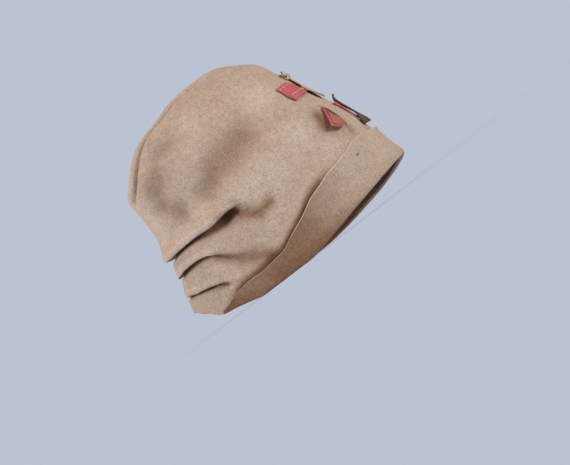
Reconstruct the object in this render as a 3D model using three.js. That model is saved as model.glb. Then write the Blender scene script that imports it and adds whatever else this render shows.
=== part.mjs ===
// Cloche hat of wool felt: a hollow crown with nape tucks, a turned-up brim and small felt tabs at the front.
// Millimetres, +Z up, +X towards the front, -Y towards the wearer's right.
import * as THREE from "three";

// Overall sizes of the felt body, measured on the outside of the crown
const HALF_LENGTH = 120;
const HALF_WIDTH = 85.5;
const CROWN_HEIGHT = 191.5;
const WALL_RUN = 250;
const FELT = 2;
const SEAM_GAP = 0.3;
const TUCK_DEPTH = 5;
const TUCK_ROLL = 10;
const FOLD_WIDTH = 10;
const FOLD_DEPTH = 4;
const TAB_FELT = 1.6;
const TAB_LIFT = 6.4;
const KNOT_RADIUS = 2.9;

// Where the widest point of each level lies between its back and its front, and how square its oval is
const WIDEST_SHARE = 0.46;
const SQUARENESS = 2.2;

// Levels of the crown: way runs from the rim to the top of the head
// Front, back and half are shares of the half sizes, the heights are shares of the crown height
const LEVELS = [
  { way: 0.0, front: 1.014, frontUp: 0.0, back: 1.075, backUp: 0.0, half: 1.0, sideUp: 0.0 },
  { way: 0.12, front: 0.951, frontUp: 0.1567, back: 0.996, backUp: 0.1567, half: 1.0, sideUp: 0.1567 },
  { way: 0.24, front: 0.887, frontUp: 0.3133, back: 0.919, backUp: 0.3133, half: 0.988, sideUp: 0.3133 },
  { way: 0.36, front: 0.808, frontUp: 0.47, back: 0.885, backUp: 0.47, half: 0.971, sideUp: 0.47 },
  { way: 0.48, front: 0.698, frontUp: 0.6266, back: 0.883, backUp: 0.6266, half: 0.936, sideUp: 0.6266 },
  { way: 0.57, front: 0.63, frontUp: 0.724, back: 0.89, backUp: 0.73, half: 0.877, sideUp: 0.727 },
  { way: 0.65, front: 0.567, frontUp: 0.799, back: 0.812, backUp: 0.802, half: 0.8, sideUp: 0.8 },
  { way: 0.75, front: 0.495, frontUp: 0.8825, back: 0.618, backUp: 0.9, half: 0.64, sideUp: 0.891 },
  { way: 0.84, front: 0.375, frontUp: 0.935, back: 0.325, backUp: 0.963, half: 0.445, sideUp: 0.95 },
  { way: 0.92, front: 0.278, frontUp: 0.967, back: 0.067, backUp: 0.993, half: 0.235, sideUp: 0.984 },
  { way: 1.0, front: 0.175, frontUp: 0.989, back: -0.175, backUp: 0.989, half: 0.0, sideUp: 0.989 },
];

// The rim by the angle from the front, on the wearer's right and left, as shares of the wall's run
const RIM = [
  { azimuth: 0, right: 0.1008, left: 0.1008 },
  { azimuth: 20, right: 0.0936, left: 0.0848 },
  { azimuth: 36, right: 0.0812, left: 0.0648 },
  { azimuth: 46, right: 0.0688, left: 0.0496 },
  { azimuth: 61, right: 0.0464, left: 0.0288 },
  { azimuth: 74, right: 0.0208, left: 0.0104 },
  { azimuth: 86, right: 0, left: 0 },
  { azimuth: 105, right: 0, left: 0 },
  { azimuth: 112, right: 0.0104, left: 0.0104 },
  { azimuth: 122, right: 0.0248, left: 0.0248 },
  { azimuth: 130, right: 0.032, left: 0.032 },
  { azimuth: 142, right: 0.0648, left: 0.0648 },
  { azimuth: 150, right: 0.0812, left: 0.0812 },
  { azimuth: 159, right: 0.0976, left: 0.0976 },
  { azimuth: 180, right: 0.1064, left: 0.1064 },
];

// The cut edge of the turned-up brim, as shares of the wall's run
const BRIM_END = 130;
const BRIM_EDGE = [
  { azimuth: 0, way: 0.2352 },
  { azimuth: 12, way: 0.236 },
  { azimuth: 26, way: 0.2416 },
  { azimuth: 35, way: 0.24 },
  { azimuth: 49, way: 0.2148 },
  { azimuth: 61, way: 0.1952 },
  { azimuth: 71, way: 0.17 },
  { azimuth: 79.5, way: 0.1312 },
  { azimuth: 86, way: 0.102 },
  { azimuth: 91, way: 0.08 },
  { azimuth: 100, way: 0.072 },
  { azimuth: 109, way: 0.07 },
  { azimuth: 116, way: 0.064 },
  { azimuth: 130, way: 0.044 },
];

// How far the outer face of the brim stands off the crown, at its edge, half way down and above its fold
// Shares of the thickness of the felt
const BRIM_STAND = [
  { azimuth: 0, edge: 1.85, middle: 1.25, low: 1.6 },
  { azimuth: 60, edge: 2.1, middle: 1.45, low: 1.5 },
  { azimuth: 75, edge: 2.45, middle: 1.6, low: 1.4 },
  { azimuth: 90, edge: 2.5, middle: 1.6, low: 1.3 },
  { azimuth: 108, edge: 2.2, middle: 1.5, low: 1.3 },
  { azimuth: 130, edge: 1.35, middle: 1.3, low: 1.3 },
];
const FOLD_ROUND = 0.8;
const FOLD_SHOULDER = 3;

// Three tucks across the nape: where each lip runs, as a share of the wall's run
// How far it stands out over the felt below is a share of the tuck depth
const TUCKS = [
  [
    { azimuth: 0, way: 0.156, out: 0 },
    { azimuth: 60, way: 0.096, out: 0 },
    { azimuth: 90, way: 0.06, out: 0 },
    { azimuth: 108, way: 0.072, out: 0 },
    { azimuth: 115, way: 0.0932, out: 0.1 },
    { azimuth: 119, way: 0.1072, out: 0.2 },
    { azimuth: 123, way: 0.1232, out: 0.32 },
    { azimuth: 126.5, way: 0.1328, out: 0.48 },
    { azimuth: 131.5, way: 0.1392, out: 0.6 },
    { azimuth: 138, way: 0.146, out: 0.68 },
    { azimuth: 144, way: 0.15, out: 0.66 },
    { azimuth: 153, way: 0.158, out: 0.54 },
    { azimuth: 165, way: 0.16, out: 0.38 },
    { azimuth: 180, way: 0.16, out: 0.3 },
  ],
  [
    { azimuth: 0, way: 0.216, out: 0 },
    { azimuth: 60, way: 0.168, out: 0 },
    { azimuth: 84, way: 0.132, out: 0 },
    { azimuth: 93, way: 0.136, out: 0.06 },
    { azimuth: 100, way: 0.152, out: 0.16 },
    { azimuth: 109, way: 0.182, out: 0.28 },
    { azimuth: 117, way: 0.212, out: 0.44 },
    { azimuth: 120.5, way: 0.2228, out: 0.6 },
    { azimuth: 124.5, way: 0.232, out: 0.72 },
    { azimuth: 130, way: 0.2388, out: 0.84 },
    { azimuth: 136, way: 0.2408, out: 0.9 },
    { azimuth: 143, way: 0.2408, out: 0.92 },
    { azimuth: 152, way: 0.236, out: 0.76 },
    { azimuth: 165, way: 0.2344, out: 0.6 },
    { azimuth: 180, way: 0.2336, out: 0.5 },
  ],
  [
    { azimuth: 0, way: 0.292, out: 0 },
    { azimuth: 60, way: 0.272, out: 0 },
    { azimuth: 86, way: 0.288, out: 0 },
    { azimuth: 91, way: 0.298, out: 0.16 },
    { azimuth: 95, way: 0.302, out: 0.44 },
    { azimuth: 100, way: 0.3016, out: 0.72 },
    { azimuth: 105, way: 0.298, out: 0.92 },
    { azimuth: 111, way: 0.298, out: 1.04 },
    { azimuth: 117, way: 0.302, out: 1.12 },
    { azimuth: 124, way: 0.3052, out: 1.12 },
    { azimuth: 140, way: 0.3052, out: 1.12 },
    { azimuth: 150, way: 0.304, out: 1.12 },
    { azimuth: 165, way: 0.306, out: 1.24 },
    { azimuth: 180, way: 0.308, out: 1.3 },
  ],
];

// Shape of a tuck across its lip: how many rolls above the lip, and the share of its stand-out
const TUCK_PROFILE = [
  { above: -1.4, share: 0 },
  { above: -0.6, share: -0.12 },
  { above: -0.1, share: -0.34 },
  { above: 0.1, share: 0.42 },
  { above: 0.45, share: 0.9 },
  { above: 0.9, share: 0.5 },
  { above: 1.8, share: 0.1 },
  { above: 2.6, share: 0 },
];
const TUCK_ROWS = [-0.1, 0.1, 0.45, 0.9];
const ROW_STEP = 0.9;
const TUCK_LINING = 0.5;
const LINING_NEAR = 4;
const LINING_FAR = 16;

// Soft dents and ridges, each a stretch between two places on the crown
// Widths are shares of the fold width, depths are shares of the fold depth
const SOFT_FOLDS = [
  { name: "back crease top", azimuth: 62, way: 0.862, toAzimuth: 100, toWay: 0.875, width: 0.8, depth: -0.7 },
  { name: "back crease shoulder", azimuth: 100, way: 0.875, toAzimuth: 127, toWay: 0.8, width: 0.8, depth: -0.9 },
  { name: "back crease middle", azimuth: 127, way: 0.8, toAzimuth: 139, toWay: 0.7, width: 0.8, depth: -0.95 },
  { name: "back crease side", azimuth: 139, way: 0.7, toAzimuth: 136, toWay: 0.6, width: 0.8, depth: -0.95 },
  { name: "back crease foot", azimuth: 136, way: 0.6, toAzimuth: 151, toWay: 0.547, width: 0.8, depth: -0.85 },
  { name: "upper hollow", azimuth: 105, way: 0.674, toAzimuth: 122, toWay: 0.655, width: 1.1, depth: -0.65 },
  { name: "back hollow", azimuth: 122, way: 0.655, toAzimuth: 118, toWay: 0.53, width: 1.1, depth: -0.6 },
  { name: "back hollow foot", azimuth: 118, way: 0.53, toAzimuth: 132, toWay: 0.44, width: 1.1, depth: -0.65 },
  { name: "back hollow end", azimuth: 132, way: 0.44, toAzimuth: 122, toWay: 0.375, width: 1, depth: -0.6 },
  { name: "back ridge", azimuth: 92, way: 0.6, toAzimuth: 104, toWay: 0.5, width: 1.2, depth: 0.3 },
  { name: "back ridge foot", azimuth: 104, way: 0.5, toAzimuth: 116, toWay: 0.41, width: 1.2, depth: 0.35 },
  { name: "side hollow start", azimuth: 40, way: 0.485, toAzimuth: 60, toWay: 0.49, width: 1.3, depth: -0.25 },
  { name: "side hollow", azimuth: 60, way: 0.49, toAzimuth: 84, toWay: 0.455, width: 1.3, depth: -0.6 },
  { name: "side hollow foot", azimuth: 84, way: 0.455, toAzimuth: 103, toWay: 0.398, width: 1.1, depth: -0.75 },
  { name: "side ridge", azimuth: 61, way: 0.389, toAzimuth: 83, toWay: 0.374, width: 1.3, depth: 0.4 },
  { name: "side ridge foot", azimuth: 83, way: 0.374, toAzimuth: 112, toWay: 0.329, width: 1.2, depth: 0.4 },
  { name: "tuck pocket", azimuth: 97, way: 0.284, toAzimuth: 105, toWay: 0.28, width: 0.7, depth: -1.1 },
  { name: "tuck pocket foot", azimuth: 105, way: 0.28, toAzimuth: 118, toWay: 0.28, width: 0.6, depth: -0.6 },
  { name: "tuck tail", azimuth: 93, way: 0.268, toAzimuth: 88, toWay: 0.25, width: 0.6, depth: -0.65 },
  { name: "tuck tail end", azimuth: 88, way: 0.25, toAzimuth: 83.5, toWay: 0.252, width: 0.6, depth: -0.5 },
  { name: "tuck pillow", azimuth: 96, way: 0.239, toAzimuth: 104, toWay: 0.225, width: 1, depth: 0.45 },
];

// Rows of the mesh above the tucks, and the columns round the hat
const UPPER_ROWS = 15;
const LINING_WALL_ROWS = 5;
const LINING_UPPER_ROWS = 10;
const TUCK_TOP = 0.42;
const TUCK_MARGIN = 0.025;
const FRONT_COLUMNS = 24;
const NAPE_COLUMNS = 9;
const BRIM_END_GAP = 0.35;
const BRIM_END_RISE = 1;

// Felt tabs: corners on the crown, the angle being towards the wearer's right
// Thickness is a share of the tab felt, the lift off the crown and the cup are shares of the tab lift
const TAB_STEPS = { along: 8, across: 5 };
const TABS = [
  {
    name: "rose_tab_upper",
    colour: 0xc06a70,
    thickness: 1,
    cup: 0.031,
    corners: [
      { azimuth: 34, way: 0.551, lift: 0 },
      { azimuth: 18.8, way: 0.56, lift: 0.031 },
      { azimuth: 12.3, way: 0.478, lift: 0.062 },
      { azimuth: 33.3, way: 0.465, lift: 0.141 },
    ],
  },
  {
    name: "beige_tab_upper",
    colour: 0xbfa186,
    thickness: 1,
    cup: 0.094,
    corners: [
      { azimuth: 8.8, way: 0.57, lift: 0.031 },
      { azimuth: -5, way: 0.57, lift: 0 },
      { azimuth: -4, way: 0.43, lift: 0.078 },
      { azimuth: 9.8, way: 0.43, lift: 0.25 },
    ],
  },
  {
    name: "rose_tab_lower",
    colour: 0xc06a70,
    thickness: 1,
    cup: 0.25,
    corners: [
      { azimuth: 25.8, way: 0.398, lift: 0 },
      { azimuth: 23.8, way: 0.304, lift: 0 },
      { azimuth: 34, way: 0.298, lift: 0.781 },
      { azimuth: 39.5, way: 0.322, lift: 1 },
    ],
  },
  {
    name: "rose_strip_front",
    colour: 0xc06a70,
    thickness: 0.875,
    cup: 0.031,
    corners: [
      { azimuth: 10, way: 0.39, lift: 0.031 },
      { azimuth: -6, way: 0.39, lift: 0.016 },
      { azimuth: -7, way: 0.296, lift: 0.016 },
      { azimuth: 2, way: 0.296, lift: 0.031 },
    ],
  },
];
const LAYERS = [
  {
    name: "brown_tab_lower",
    colour: 0x7a5a40,
    under: "rose_tab_lower",
    thickness: 0.625,
    inset: 0.14,
  },
];
const CURLED_STRIP = {
  name: "brown_strip_front",
  colour: 0x6e5742,
  thickness: 0.875,
  azimuth: -2.5,
  halfTurn: 5,
  rows: [
    { way: 0.414, lift: 1 },
    { way: 0.408, lift: 0.656 },
    { way: 0.398, lift: 0.437 },
    { way: 0.38, lift: 0.359 },
    { way: 0.347, lift: 0.422 },
    { way: 0.315, lift: 0.5 },
    { way: 0.29, lift: 0.5 },
    { way: 0.268, lift: 0.406 },
  ],
};
const KNOT = { azimuth: 9, way: 0.594, lift: 0.9, thread: 0.224, winds: 2, lobes: 3 };
const KNOT_STEPS = { around: 48, section: 6 };

const FELT_COLOUR = 0xb89c86;
const GOLD_COLOUR = 0xb08d57;

// A smooth curve through the rows of a table, with its slopes from the neighbouring rows
function hermite(t, from, to, slopeFrom, slopeTo, run) {
  const t2 = t * t;
  const t3 = t2 * t;
  return (
    (2 * t3 - 3 * t2 + 1) * from +
    (t3 - 2 * t2 + t) * run * slopeFrom +
    (3 * t2 - 2 * t3) * to +
    (t3 - t2) * run * slopeTo
  );
}

// Levels in millimetres, with one more beyond each end so that the curves run on across the top and the rim
function levelsInMillimetres() {
  const rows = LEVELS.map((level) => ({
    way: level.way,
    front: level.front * HALF_LENGTH,
    frontUp: level.frontUp * CROWN_HEIGHT,
    back: -level.back * HALF_LENGTH,
    backUp: level.backUp * CROWN_HEIGHT,
    half: level.half * HALF_WIDTH,
    sideUp: level.sideUp * CROWN_HEIGHT,
  }));
  const top = rows[rows.length - 1];
  const last = rows[rows.length - 2];
  const beyond = {
    way: 2 * top.way - last.way,
    front: last.back,
    frontUp: last.backUp,
    back: last.front,
    backUp: last.frontUp,
    half: -last.half,
    sideUp: last.sideUp,
  };
  const below = {};
  for (const key of Object.keys(top)) below[key] = 2 * rows[0][key] - rows[1][key];
  return [below, ...rows, beyond];
}
const ROWS = levelsInMillimetres();

// The oval of the crown at one way
function levelAt(way) {
  let k = 1;
  while (k < ROWS.length - 3 && ROWS[k + 1].way <= way) k += 1;
  const [before, from, to, after] = ROWS.slice(k - 1, k + 3);
  const run = to.way - from.way;
  const t = (way - from.way) / run;
  const level = {};
  for (const key of Object.keys(from)) {
    const slopeFrom = (to[key] - before[key]) / (to.way - before.way);
    const slopeTo = (after[key] - from[key]) / (after.way - from.way);
    level[key] = hermite(t, from[key], to[key], slopeFrom, slopeTo, run);
  }
  return level;
}

// A value from a table by the angle from the front, without overshoot between its rows
function byAngle(table, azimuth, column, key = "azimuth") {
  const n = table.length;
  const slope = (i) => (table[i + 1][column] - table[i][column]) / (table[i + 1][key] - table[i][key]);
  const tangent = (i) => {
    if (i <= 0 || i >= n - 1 || slope(i - 1) * slope(i) <= 0) return 0;
    return (2 * slope(i - 1) * slope(i)) / (slope(i - 1) + slope(i));
  };
  const at = Math.min(Math.max(azimuth, table[0][key]), table[n - 1][key]);
  let k = 0;
  while (k < n - 2 && table[k + 1][key] <= at) k += 1;
  const run = table[k + 1][key] - table[k][key];
  const t = (at - table[k][key]) / run;
  return hermite(t, table[k][column], table[k + 1][column], tangent(k), tangent(k + 1), run);
}

const signedPower = (value, power) => Math.sign(value) * Math.abs(value) ** power;

// A point on the plain oval crown, the angle in degrees from the front towards the wearer's left
function plainPoint(azimuth, way) {
  const level = levelAt(way);
  const angle = THREE.MathUtils.degToRad(azimuth);
  const c = Math.cos(angle);
  const s = Math.sin(angle);
  const centre = level.back + WIDEST_SHARE * (level.front - level.back);
  const reach = c > 0 ? level.front - centre : centre - level.back;
  const rise = (c > 0 ? level.frontUp : level.backUp) - level.sideUp;
  return new THREE.Vector3(
    centre + reach * signedPower(c, 2 / SQUARENESS),
    level.half * signedPower(s, 2 / SQUARENESS),
    level.sideUp + rise * c * c,
  );
}

// The outward direction there: level on the wall, square to the felt over the top
function outwardAt(azimuth, way) {
  const turn = 0.6;
  const step = 0.004;
  if (way > 1 - step) return new THREE.Vector3(0, 0, 1);
  const around = plainPoint(azimuth + turn, way).sub(plainPoint(azimuth - turn, way));
  const upward = plainPoint(azimuth, way + step).sub(plainPoint(azimuth, Math.max(way - step, 0)));
  const normal = around.cross(upward);
  normal.z *= THREE.MathUtils.smoothstep(way, 0.3, 0.5);
  return normal.normalize();
}

const rimWay = (azimuth) => byAngle(RIM, Math.abs(azimuth), azimuth < 0 ? "right" : "left");
const brimEdgeWay = (azimuth) => byAngle(BRIM_EDGE, Math.abs(azimuth), "way");
const lipWay = (tuck, azimuth) => byAngle(tuck, Math.abs(azimuth), "way");
const lipOut = (tuck, azimuth) => byAngle(tuck, Math.abs(azimuth), "out") * TUCK_DEPTH;

// How far the tucks push the felt out
function tuckPush(azimuth, way) {
  let push = 0;
  for (const tuck of TUCKS) {
    const above = ((way - lipWay(tuck, azimuth)) * WALL_RUN) / TUCK_ROLL;
    push += lipOut(tuck, azimuth) * byAngle(TUCK_PROFILE, above, "share", "above");
  }
  return push;
}

const FOLD_LINES = SOFT_FOLDS.map((fold) => ({
  line: new THREE.Line3(plainPoint(fold.azimuth, fold.way), plainPoint(fold.toAzimuth, fold.toWay)),
  width: fold.width * FOLD_WIDTH,
  depth: fold.depth * FOLD_DEPTH,
}));

// How far the soft dents and ridges push the felt out or in
function softPush(point) {
  const mirrored = new THREE.Vector3(point.x, Math.abs(point.y), point.z);
  const nearest = new THREE.Vector3();
  let dent = 0;
  let swell = 0;
  for (const fold of FOLD_LINES) {
    fold.line.closestPointToPoint(mirrored, true, nearest);
    const share = Math.exp(-((mirrored.distanceTo(nearest) / fold.width) ** 2));
    dent = Math.min(dent, fold.depth * share);
    swell = Math.max(swell, fold.depth * share);
  }
  return dent + swell;
}

// A point on the outer face of the crown, moved out by the given distance
function crownPoint(azimuth, way, out = 0) {
  const plain = plainPoint(azimuth, way);
  const push = softPush(plain) + tuckPush(azimuth, way);
  return plain.addScaledVector(outwardAt(azimuth, way), push + out);
}

// A point on the inner face, which runs smoothly behind the tucks
function liningPoint(azimuth, way) {
  const plain = plainPoint(azimuth, way);
  let behind = 0;
  for (const tuck of TUCKS) {
    const away = Math.abs(way - lipWay(tuck, azimuth)) * WALL_RUN;
    const near = 1 - THREE.MathUtils.smoothstep(away, LINING_NEAR, LINING_FAR);
    behind = Math.max(behind, near * TUCK_LINING * lipOut(tuck, azimuth));
  }
  const push = Math.min(softPush(plain), 0) - behind - FELT;
  return plain.addScaledVector(outwardAt(azimuth, way), push);
}

// A mesh of numbered points and faces
class Skin {
  constructor() {
    this.points = [];
    this.faces = [];
  }
  add(point) {
    this.points.push(point);
    return this.points.length - 1;
  }
  row(points) {
    return points.map((point) => this.add(point));
  }
  triangle(a, b, c) {
    this.faces.push(a, b, c);
  }
  quad(a, b, c, d) {
    const cutsShort =
      this.points[a].distanceTo(this.points[c]) <= this.points[b].distanceTo(this.points[d]);
    if (cutsShort) this.faces.push(a, b, c, a, c, d);
    else this.faces.push(a, b, d, b, c, d);
  }
  strip(lower, upper, closed) {
    const n = lower.length;
    for (let i = 0; i < (closed ? n : n - 1); i += 1) {
      const j = (i + 1) % n;
      this.quad(lower[i], lower[j], upper[j], upper[i]);
    }
  }
  geometry() {
    const made = new THREE.BufferGeometry();
    const numbers = this.points.flatMap((point) => point.toArray());
    made.setAttribute("position", new THREE.Float32BufferAttribute(numbers, 3));
    made.setIndex(this.faces);
    made.computeVertexNormals();
    return made;
  }
}

const spread = (from, to, steps) =>
  Array.from({ length: steps + 1 }, (_, i) => from + ((to - from) * i) / steps);

// Angles of the columns round the whole crown, with a pair close to each end of the brim
function crownColumns() {
  const half = [
    ...spread(0, BRIM_END, FRONT_COLUMNS),
    BRIM_END + BRIM_END_GAP,
    ...spread(BRIM_END + BRIM_END_RISE, 180, NAPE_COLUMNS),
  ];
  const left = half.slice(1, -1).map((azimuth) => -azimuth);
  return [...half, ...left.reverse()];
}

// The lower edge of the crown: it stops above the fold of the brim, and runs down to the rim at the nape
function crownEdgeWay(azimuth) {
  const underBrim = Math.abs(azimuth) < BRIM_END + (BRIM_END_GAP + BRIM_END_RISE) / 2;
  return rimWay(azimuth) + (underBrim ? (FELT + SEAM_GAP) / WALL_RUN : 0);
}

// Ways of the rows of the outer face at one angle, which follow the lips of the tucks
function outerWays(azimuth) {
  const ways = [crownEdgeWay(azimuth)];
  let last = ways[0];
  for (const tuck of TUCKS) {
    for (const row of TUCK_ROWS) {
      last = Math.max(lipWay(tuck, azimuth) + (row * TUCK_ROLL) / WALL_RUN, last + ROW_STEP / WALL_RUN);
      ways.push(last);
    }
  }
  const first = Math.max(last + TUCK_MARGIN, TUCK_TOP - TUCK_MARGIN);
  const steps = spread(first, 1, UPPER_ROWS);
  return [...ways, ...steps.slice(0, -1)];
}

function liningWays(azimuth) {
  const edge = crownEdgeWay(azimuth);
  return [...spread(edge, TUCK_TOP, LINING_WALL_ROWS), ...spread(TUCK_TOP, 1, LINING_UPPER_ROWS).slice(1, -1)];
}

function makeCrown() {
  const skin = new Skin();
  const columns = crownColumns();
  const grid = (waysOf, pointOf) => {
    const ways = columns.map(waysOf);
    return ways[0].map((_, r) => skin.row(columns.map((azimuth, c) => pointOf(azimuth, ways[c][r]))));
  };
  const outer = grid(outerWays, crownPoint);
  const lining = grid(liningWays, liningPoint);
  for (let r = 0; r < outer.length - 1; r += 1) skin.strip(outer[r], outer[r + 1], true);
  for (let r = 0; r < lining.length - 1; r += 1) skin.strip(lining[r + 1], lining[r], true);
  skin.strip(lining[0], outer[0], true);
  const top = skin.add(crownPoint(0, 1));
  const roof = skin.add(liningPoint(0, 1));
  const lastOuter = outer[outer.length - 1];
  const lastLining = lining[lining.length - 1];
  columns.forEach((_, i) => {
    const j = (i + 1) % columns.length;
    skin.triangle(lastOuter[i], lastOuter[j], top);
    skin.triangle(lastLining[j], lastLining[i], roof);
  });
  return skin.geometry();
}

// Outline of the folded band at one angle: how far out and how high each corner lies
function brimSection(azimuth) {
  const rim = rimWay(azimuth) * WALL_RUN;
  const edge = brimEdgeWay(azimuth) * WALL_RUN;
  const stand = (column) => byAngle(BRIM_STAND, Math.abs(azimuth), column) * FELT;
  const shoulder = Math.min(rim + FOLD_SHOULDER, (rim + edge) / 2);
  const middle = (shoulder + edge) / 2;
  return [
    { out: stand("edge"), up: edge },
    { out: stand("middle"), up: middle },
    { out: stand("low"), up: shoulder },
    { out: stand("low") - FOLD_ROUND / 3, up: rim + FOLD_ROUND },
    { out: stand("low") - FOLD_ROUND, up: rim },
    { out: -FELT + FOLD_ROUND, up: rim },
    { out: -FELT, up: rim + FOLD_ROUND },
    { out: -FELT, up: rim + FELT },
    { out: stand("low") - FELT, up: rim + FELT },
    { out: stand("middle") - FELT, up: middle },
    { out: stand("edge") - FELT, up: edge },
  ];
}

function makeBrim() {
  const skin = new Skin();
  const half = spread(0, BRIM_END, FRONT_COLUMNS);
  const columns = [...half.slice(1).reverse().map((azimuth) => -azimuth), ...half];
  const sections = columns.map((azimuth) => {
    const corners = brimSection(azimuth);
    return skin.row(
      corners.map(({ out, up }) => {
        const way = up / WALL_RUN;
        return plainPoint(azimuth, way).addScaledVector(outwardAt(azimuth, way), out);
      }),
    );
  });
  for (let k = 0; k < sections.length - 1; k += 1) skin.strip(sections[k], sections[k + 1], false);
  for (let k = 0; k < sections.length - 1; k += 1) {
    const last = sections[k].length - 1;
    skin.quad(sections[k][last], sections[k][0], sections[k + 1][0], sections[k + 1][last]);
  }
  closeEnd(skin, sections[0], brimSection(BRIM_END), false);
  closeEnd(skin, sections[sections.length - 1], brimSection(BRIM_END), true);
  return skin.geometry();
}

// A flat face over one end of the band
function closeEnd(skin, section, corners, forward) {
  const flat = corners.map(({ out, up }) => new THREE.Vector2(out, up));
  for (const [a, b, c] of THREE.ShapeUtils.triangulateShape(flat, [])) {
    const turns = flat[b].clone().sub(flat[a]).cross(flat[c].clone().sub(flat[a]));
    if (turns > 0 === forward) skin.triangle(section[a], section[c], section[b]);
    else skin.triangle(section[a], section[b], section[c]);
  }
}

// A sheet between two equal grids of points, closed at its edges
function makeSheet(lower, upper) {
  const skin = new Skin();
  const low = lower.map((points) => skin.row(points));
  const high = upper.map((points) => skin.row(points));
  const rows = low.length;
  for (let r = 0; r < rows - 1; r += 1) {
    skin.strip(high[r], high[r + 1], false);
    skin.strip(low[r + 1], low[r], false);
  }
  skin.strip(low[0], high[0], false);
  skin.strip(high[rows - 1], low[rows - 1], false);
  const side = (grid, at) => grid.map((row) => row[at]);
  const last = low[0].length - 1;
  skin.strip(side(high, 0), side(low, 0), false);
  skin.strip(side(low, last), side(high, last), false);
  return skin.geometry();
}

// Grid of points over a tab: shares along and across its corners, lifted off the crown
function tabGrid(tab, inset, extra) {
  const blend = (key, along, across) => {
    const [a, b, c, d] = tab.corners.map((corner) => corner[key]);
    return (a * (1 - across) + b * across) * (1 - along) + (d * (1 - across) + c * across) * along;
  };
  return spread(1 - inset, inset, TAB_STEPS.along).map((along) =>
    spread(inset, 1 - inset, TAB_STEPS.across).map((across) => {
      const lift = TAB_LIFT * (blend("lift", along, across) + tab.cup * (along * (2 * across - 1)) ** 2);
      return crownPoint(-blend("azimuth", along, across), blend("way", along, across), SEAM_GAP + lift + extra);
    }),
  );
}

function makeTab(tab) {
  return makeSheet(tabGrid(tab, 0, 0), tabGrid(tab, 0, tab.thickness * TAB_FELT));
}

// A smaller piece of felt inside a tab
function makeLayer(layer) {
  const tab = TABS.find((entry) => entry.name === layer.under);
  const base = tab.thickness * TAB_FELT + SEAM_GAP;
  const top = base + layer.thickness * TAB_FELT;
  return makeSheet(tabGrid(tab, layer.inset, base), tabGrid(tab, layer.inset, top));
}

// The brown strip: one end curls up off the crown, the other lifts a little
function makeCurledStrip(strip) {
  const across = spread(strip.azimuth + strip.halfTurn, strip.azimuth - strip.halfTurn, TAB_STEPS.across);
  const under = (azimuth, row) => crownPoint(-azimuth, row.way, SEAM_GAP + row.lift * TAB_LIFT);
  const centre = strip.rows.map((row) => under(strip.azimuth, row));
  const face = (side) =>
    strip.rows.map((row, r) => {
      const before = centre[Math.max(r - 1, 0)];
      const after = centre[Math.min(r + 1, centre.length - 1)];
      const sideways = crownPoint(-across[0], row.way).sub(crownPoint(-across[across.length - 1], row.way));
      const normal = sideways.cross(after.clone().sub(before)).normalize();
      return across.map((azimuth) =>
        under(azimuth, row).addScaledVector(normal, side * strip.thickness * TAB_FELT),
      );
    });
  return makeSheet(face(0).reverse(), face(1).reverse());
}

// Loops of gold thread
function makeKnot(knot) {
  const made = new THREE.TorusKnotGeometry(
    KNOT_RADIUS,
    knot.thread * KNOT_RADIUS,
    KNOT_STEPS.around,
    KNOT_STEPS.section,
    knot.winds,
    knot.lobes,
  );
  const out = outwardAt(-knot.azimuth, knot.way);
  made.applyQuaternion(new THREE.Quaternion().setFromUnitVectors(new THREE.Vector3(0, 0, 1), out));
  const at = crownPoint(-knot.azimuth, knot.way, knot.lift * KNOT_RADIUS);
  made.translate(at.x, at.y, at.z);
  return made;
}

function node(name, geometry, colour, roughness = 0.95, metalness = 0) {
  const finish = new THREE.MeshStandardMaterial({ color: colour, roughness, metalness });
  const mesh = new THREE.Mesh(geometry, finish);
  mesh.name = name;
  return mesh;
}

// The hat, moved so that its box is centred over the origin and stands on the floor
function makeHat() {
  const hat = new THREE.Group();
  hat.name = "cloche_hat";
  hat.add(node("crown", makeCrown(), FELT_COLOUR));
  hat.add(node("turned_up_brim", makeBrim(), FELT_COLOUR));
  for (const tab of TABS) hat.add(node(tab.name, makeTab(tab), tab.colour));
  for (const layer of LAYERS) hat.add(node(layer.name, makeLayer(layer), layer.colour));
  hat.add(node(CURLED_STRIP.name, makeCurledStrip(CURLED_STRIP), CURLED_STRIP.colour));
  hat.add(node("gold_knot", makeKnot(KNOT), GOLD_COLOUR, 0.4, 0.8));
  const box = new THREE.Box3().setFromObject(hat);
  const middle = box.getCenter(new THREE.Vector3());
  for (const piece of hat.children) piece.geometry.translate(-middle.x, -middle.y, -box.min.z);
  return hat;
}

export default makeHat();
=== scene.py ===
"""Cloche hat of wool felt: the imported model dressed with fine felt, cut edges, tabs and stitching."""

import logging
import math
from dataclasses import dataclass
from enum import Enum, IntEnum
from typing import ClassVar

import bpy
import numpy as np
from mathutils import Matrix, Vector


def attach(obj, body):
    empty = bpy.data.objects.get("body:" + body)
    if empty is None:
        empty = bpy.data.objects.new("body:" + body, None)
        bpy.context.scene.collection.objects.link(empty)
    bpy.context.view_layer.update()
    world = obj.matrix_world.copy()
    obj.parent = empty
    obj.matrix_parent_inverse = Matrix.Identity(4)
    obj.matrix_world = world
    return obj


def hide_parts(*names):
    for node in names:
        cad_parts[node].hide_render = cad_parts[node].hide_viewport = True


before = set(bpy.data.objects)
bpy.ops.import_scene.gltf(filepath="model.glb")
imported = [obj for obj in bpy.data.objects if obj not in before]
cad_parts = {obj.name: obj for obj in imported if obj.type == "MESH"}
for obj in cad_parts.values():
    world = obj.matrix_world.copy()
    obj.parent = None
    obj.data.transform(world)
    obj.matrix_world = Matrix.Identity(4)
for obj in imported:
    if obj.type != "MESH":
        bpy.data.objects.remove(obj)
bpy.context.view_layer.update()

LOG = logging.getLogger("cloche_hat")
MM = 0.001
ROOT = "root"

Table = tuple[tuple[float, ...], ...]
Band = tuple[float, float]
Colour = tuple[float, float, float]
Stops = tuple[tuple[float, Colour], ...]


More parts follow.
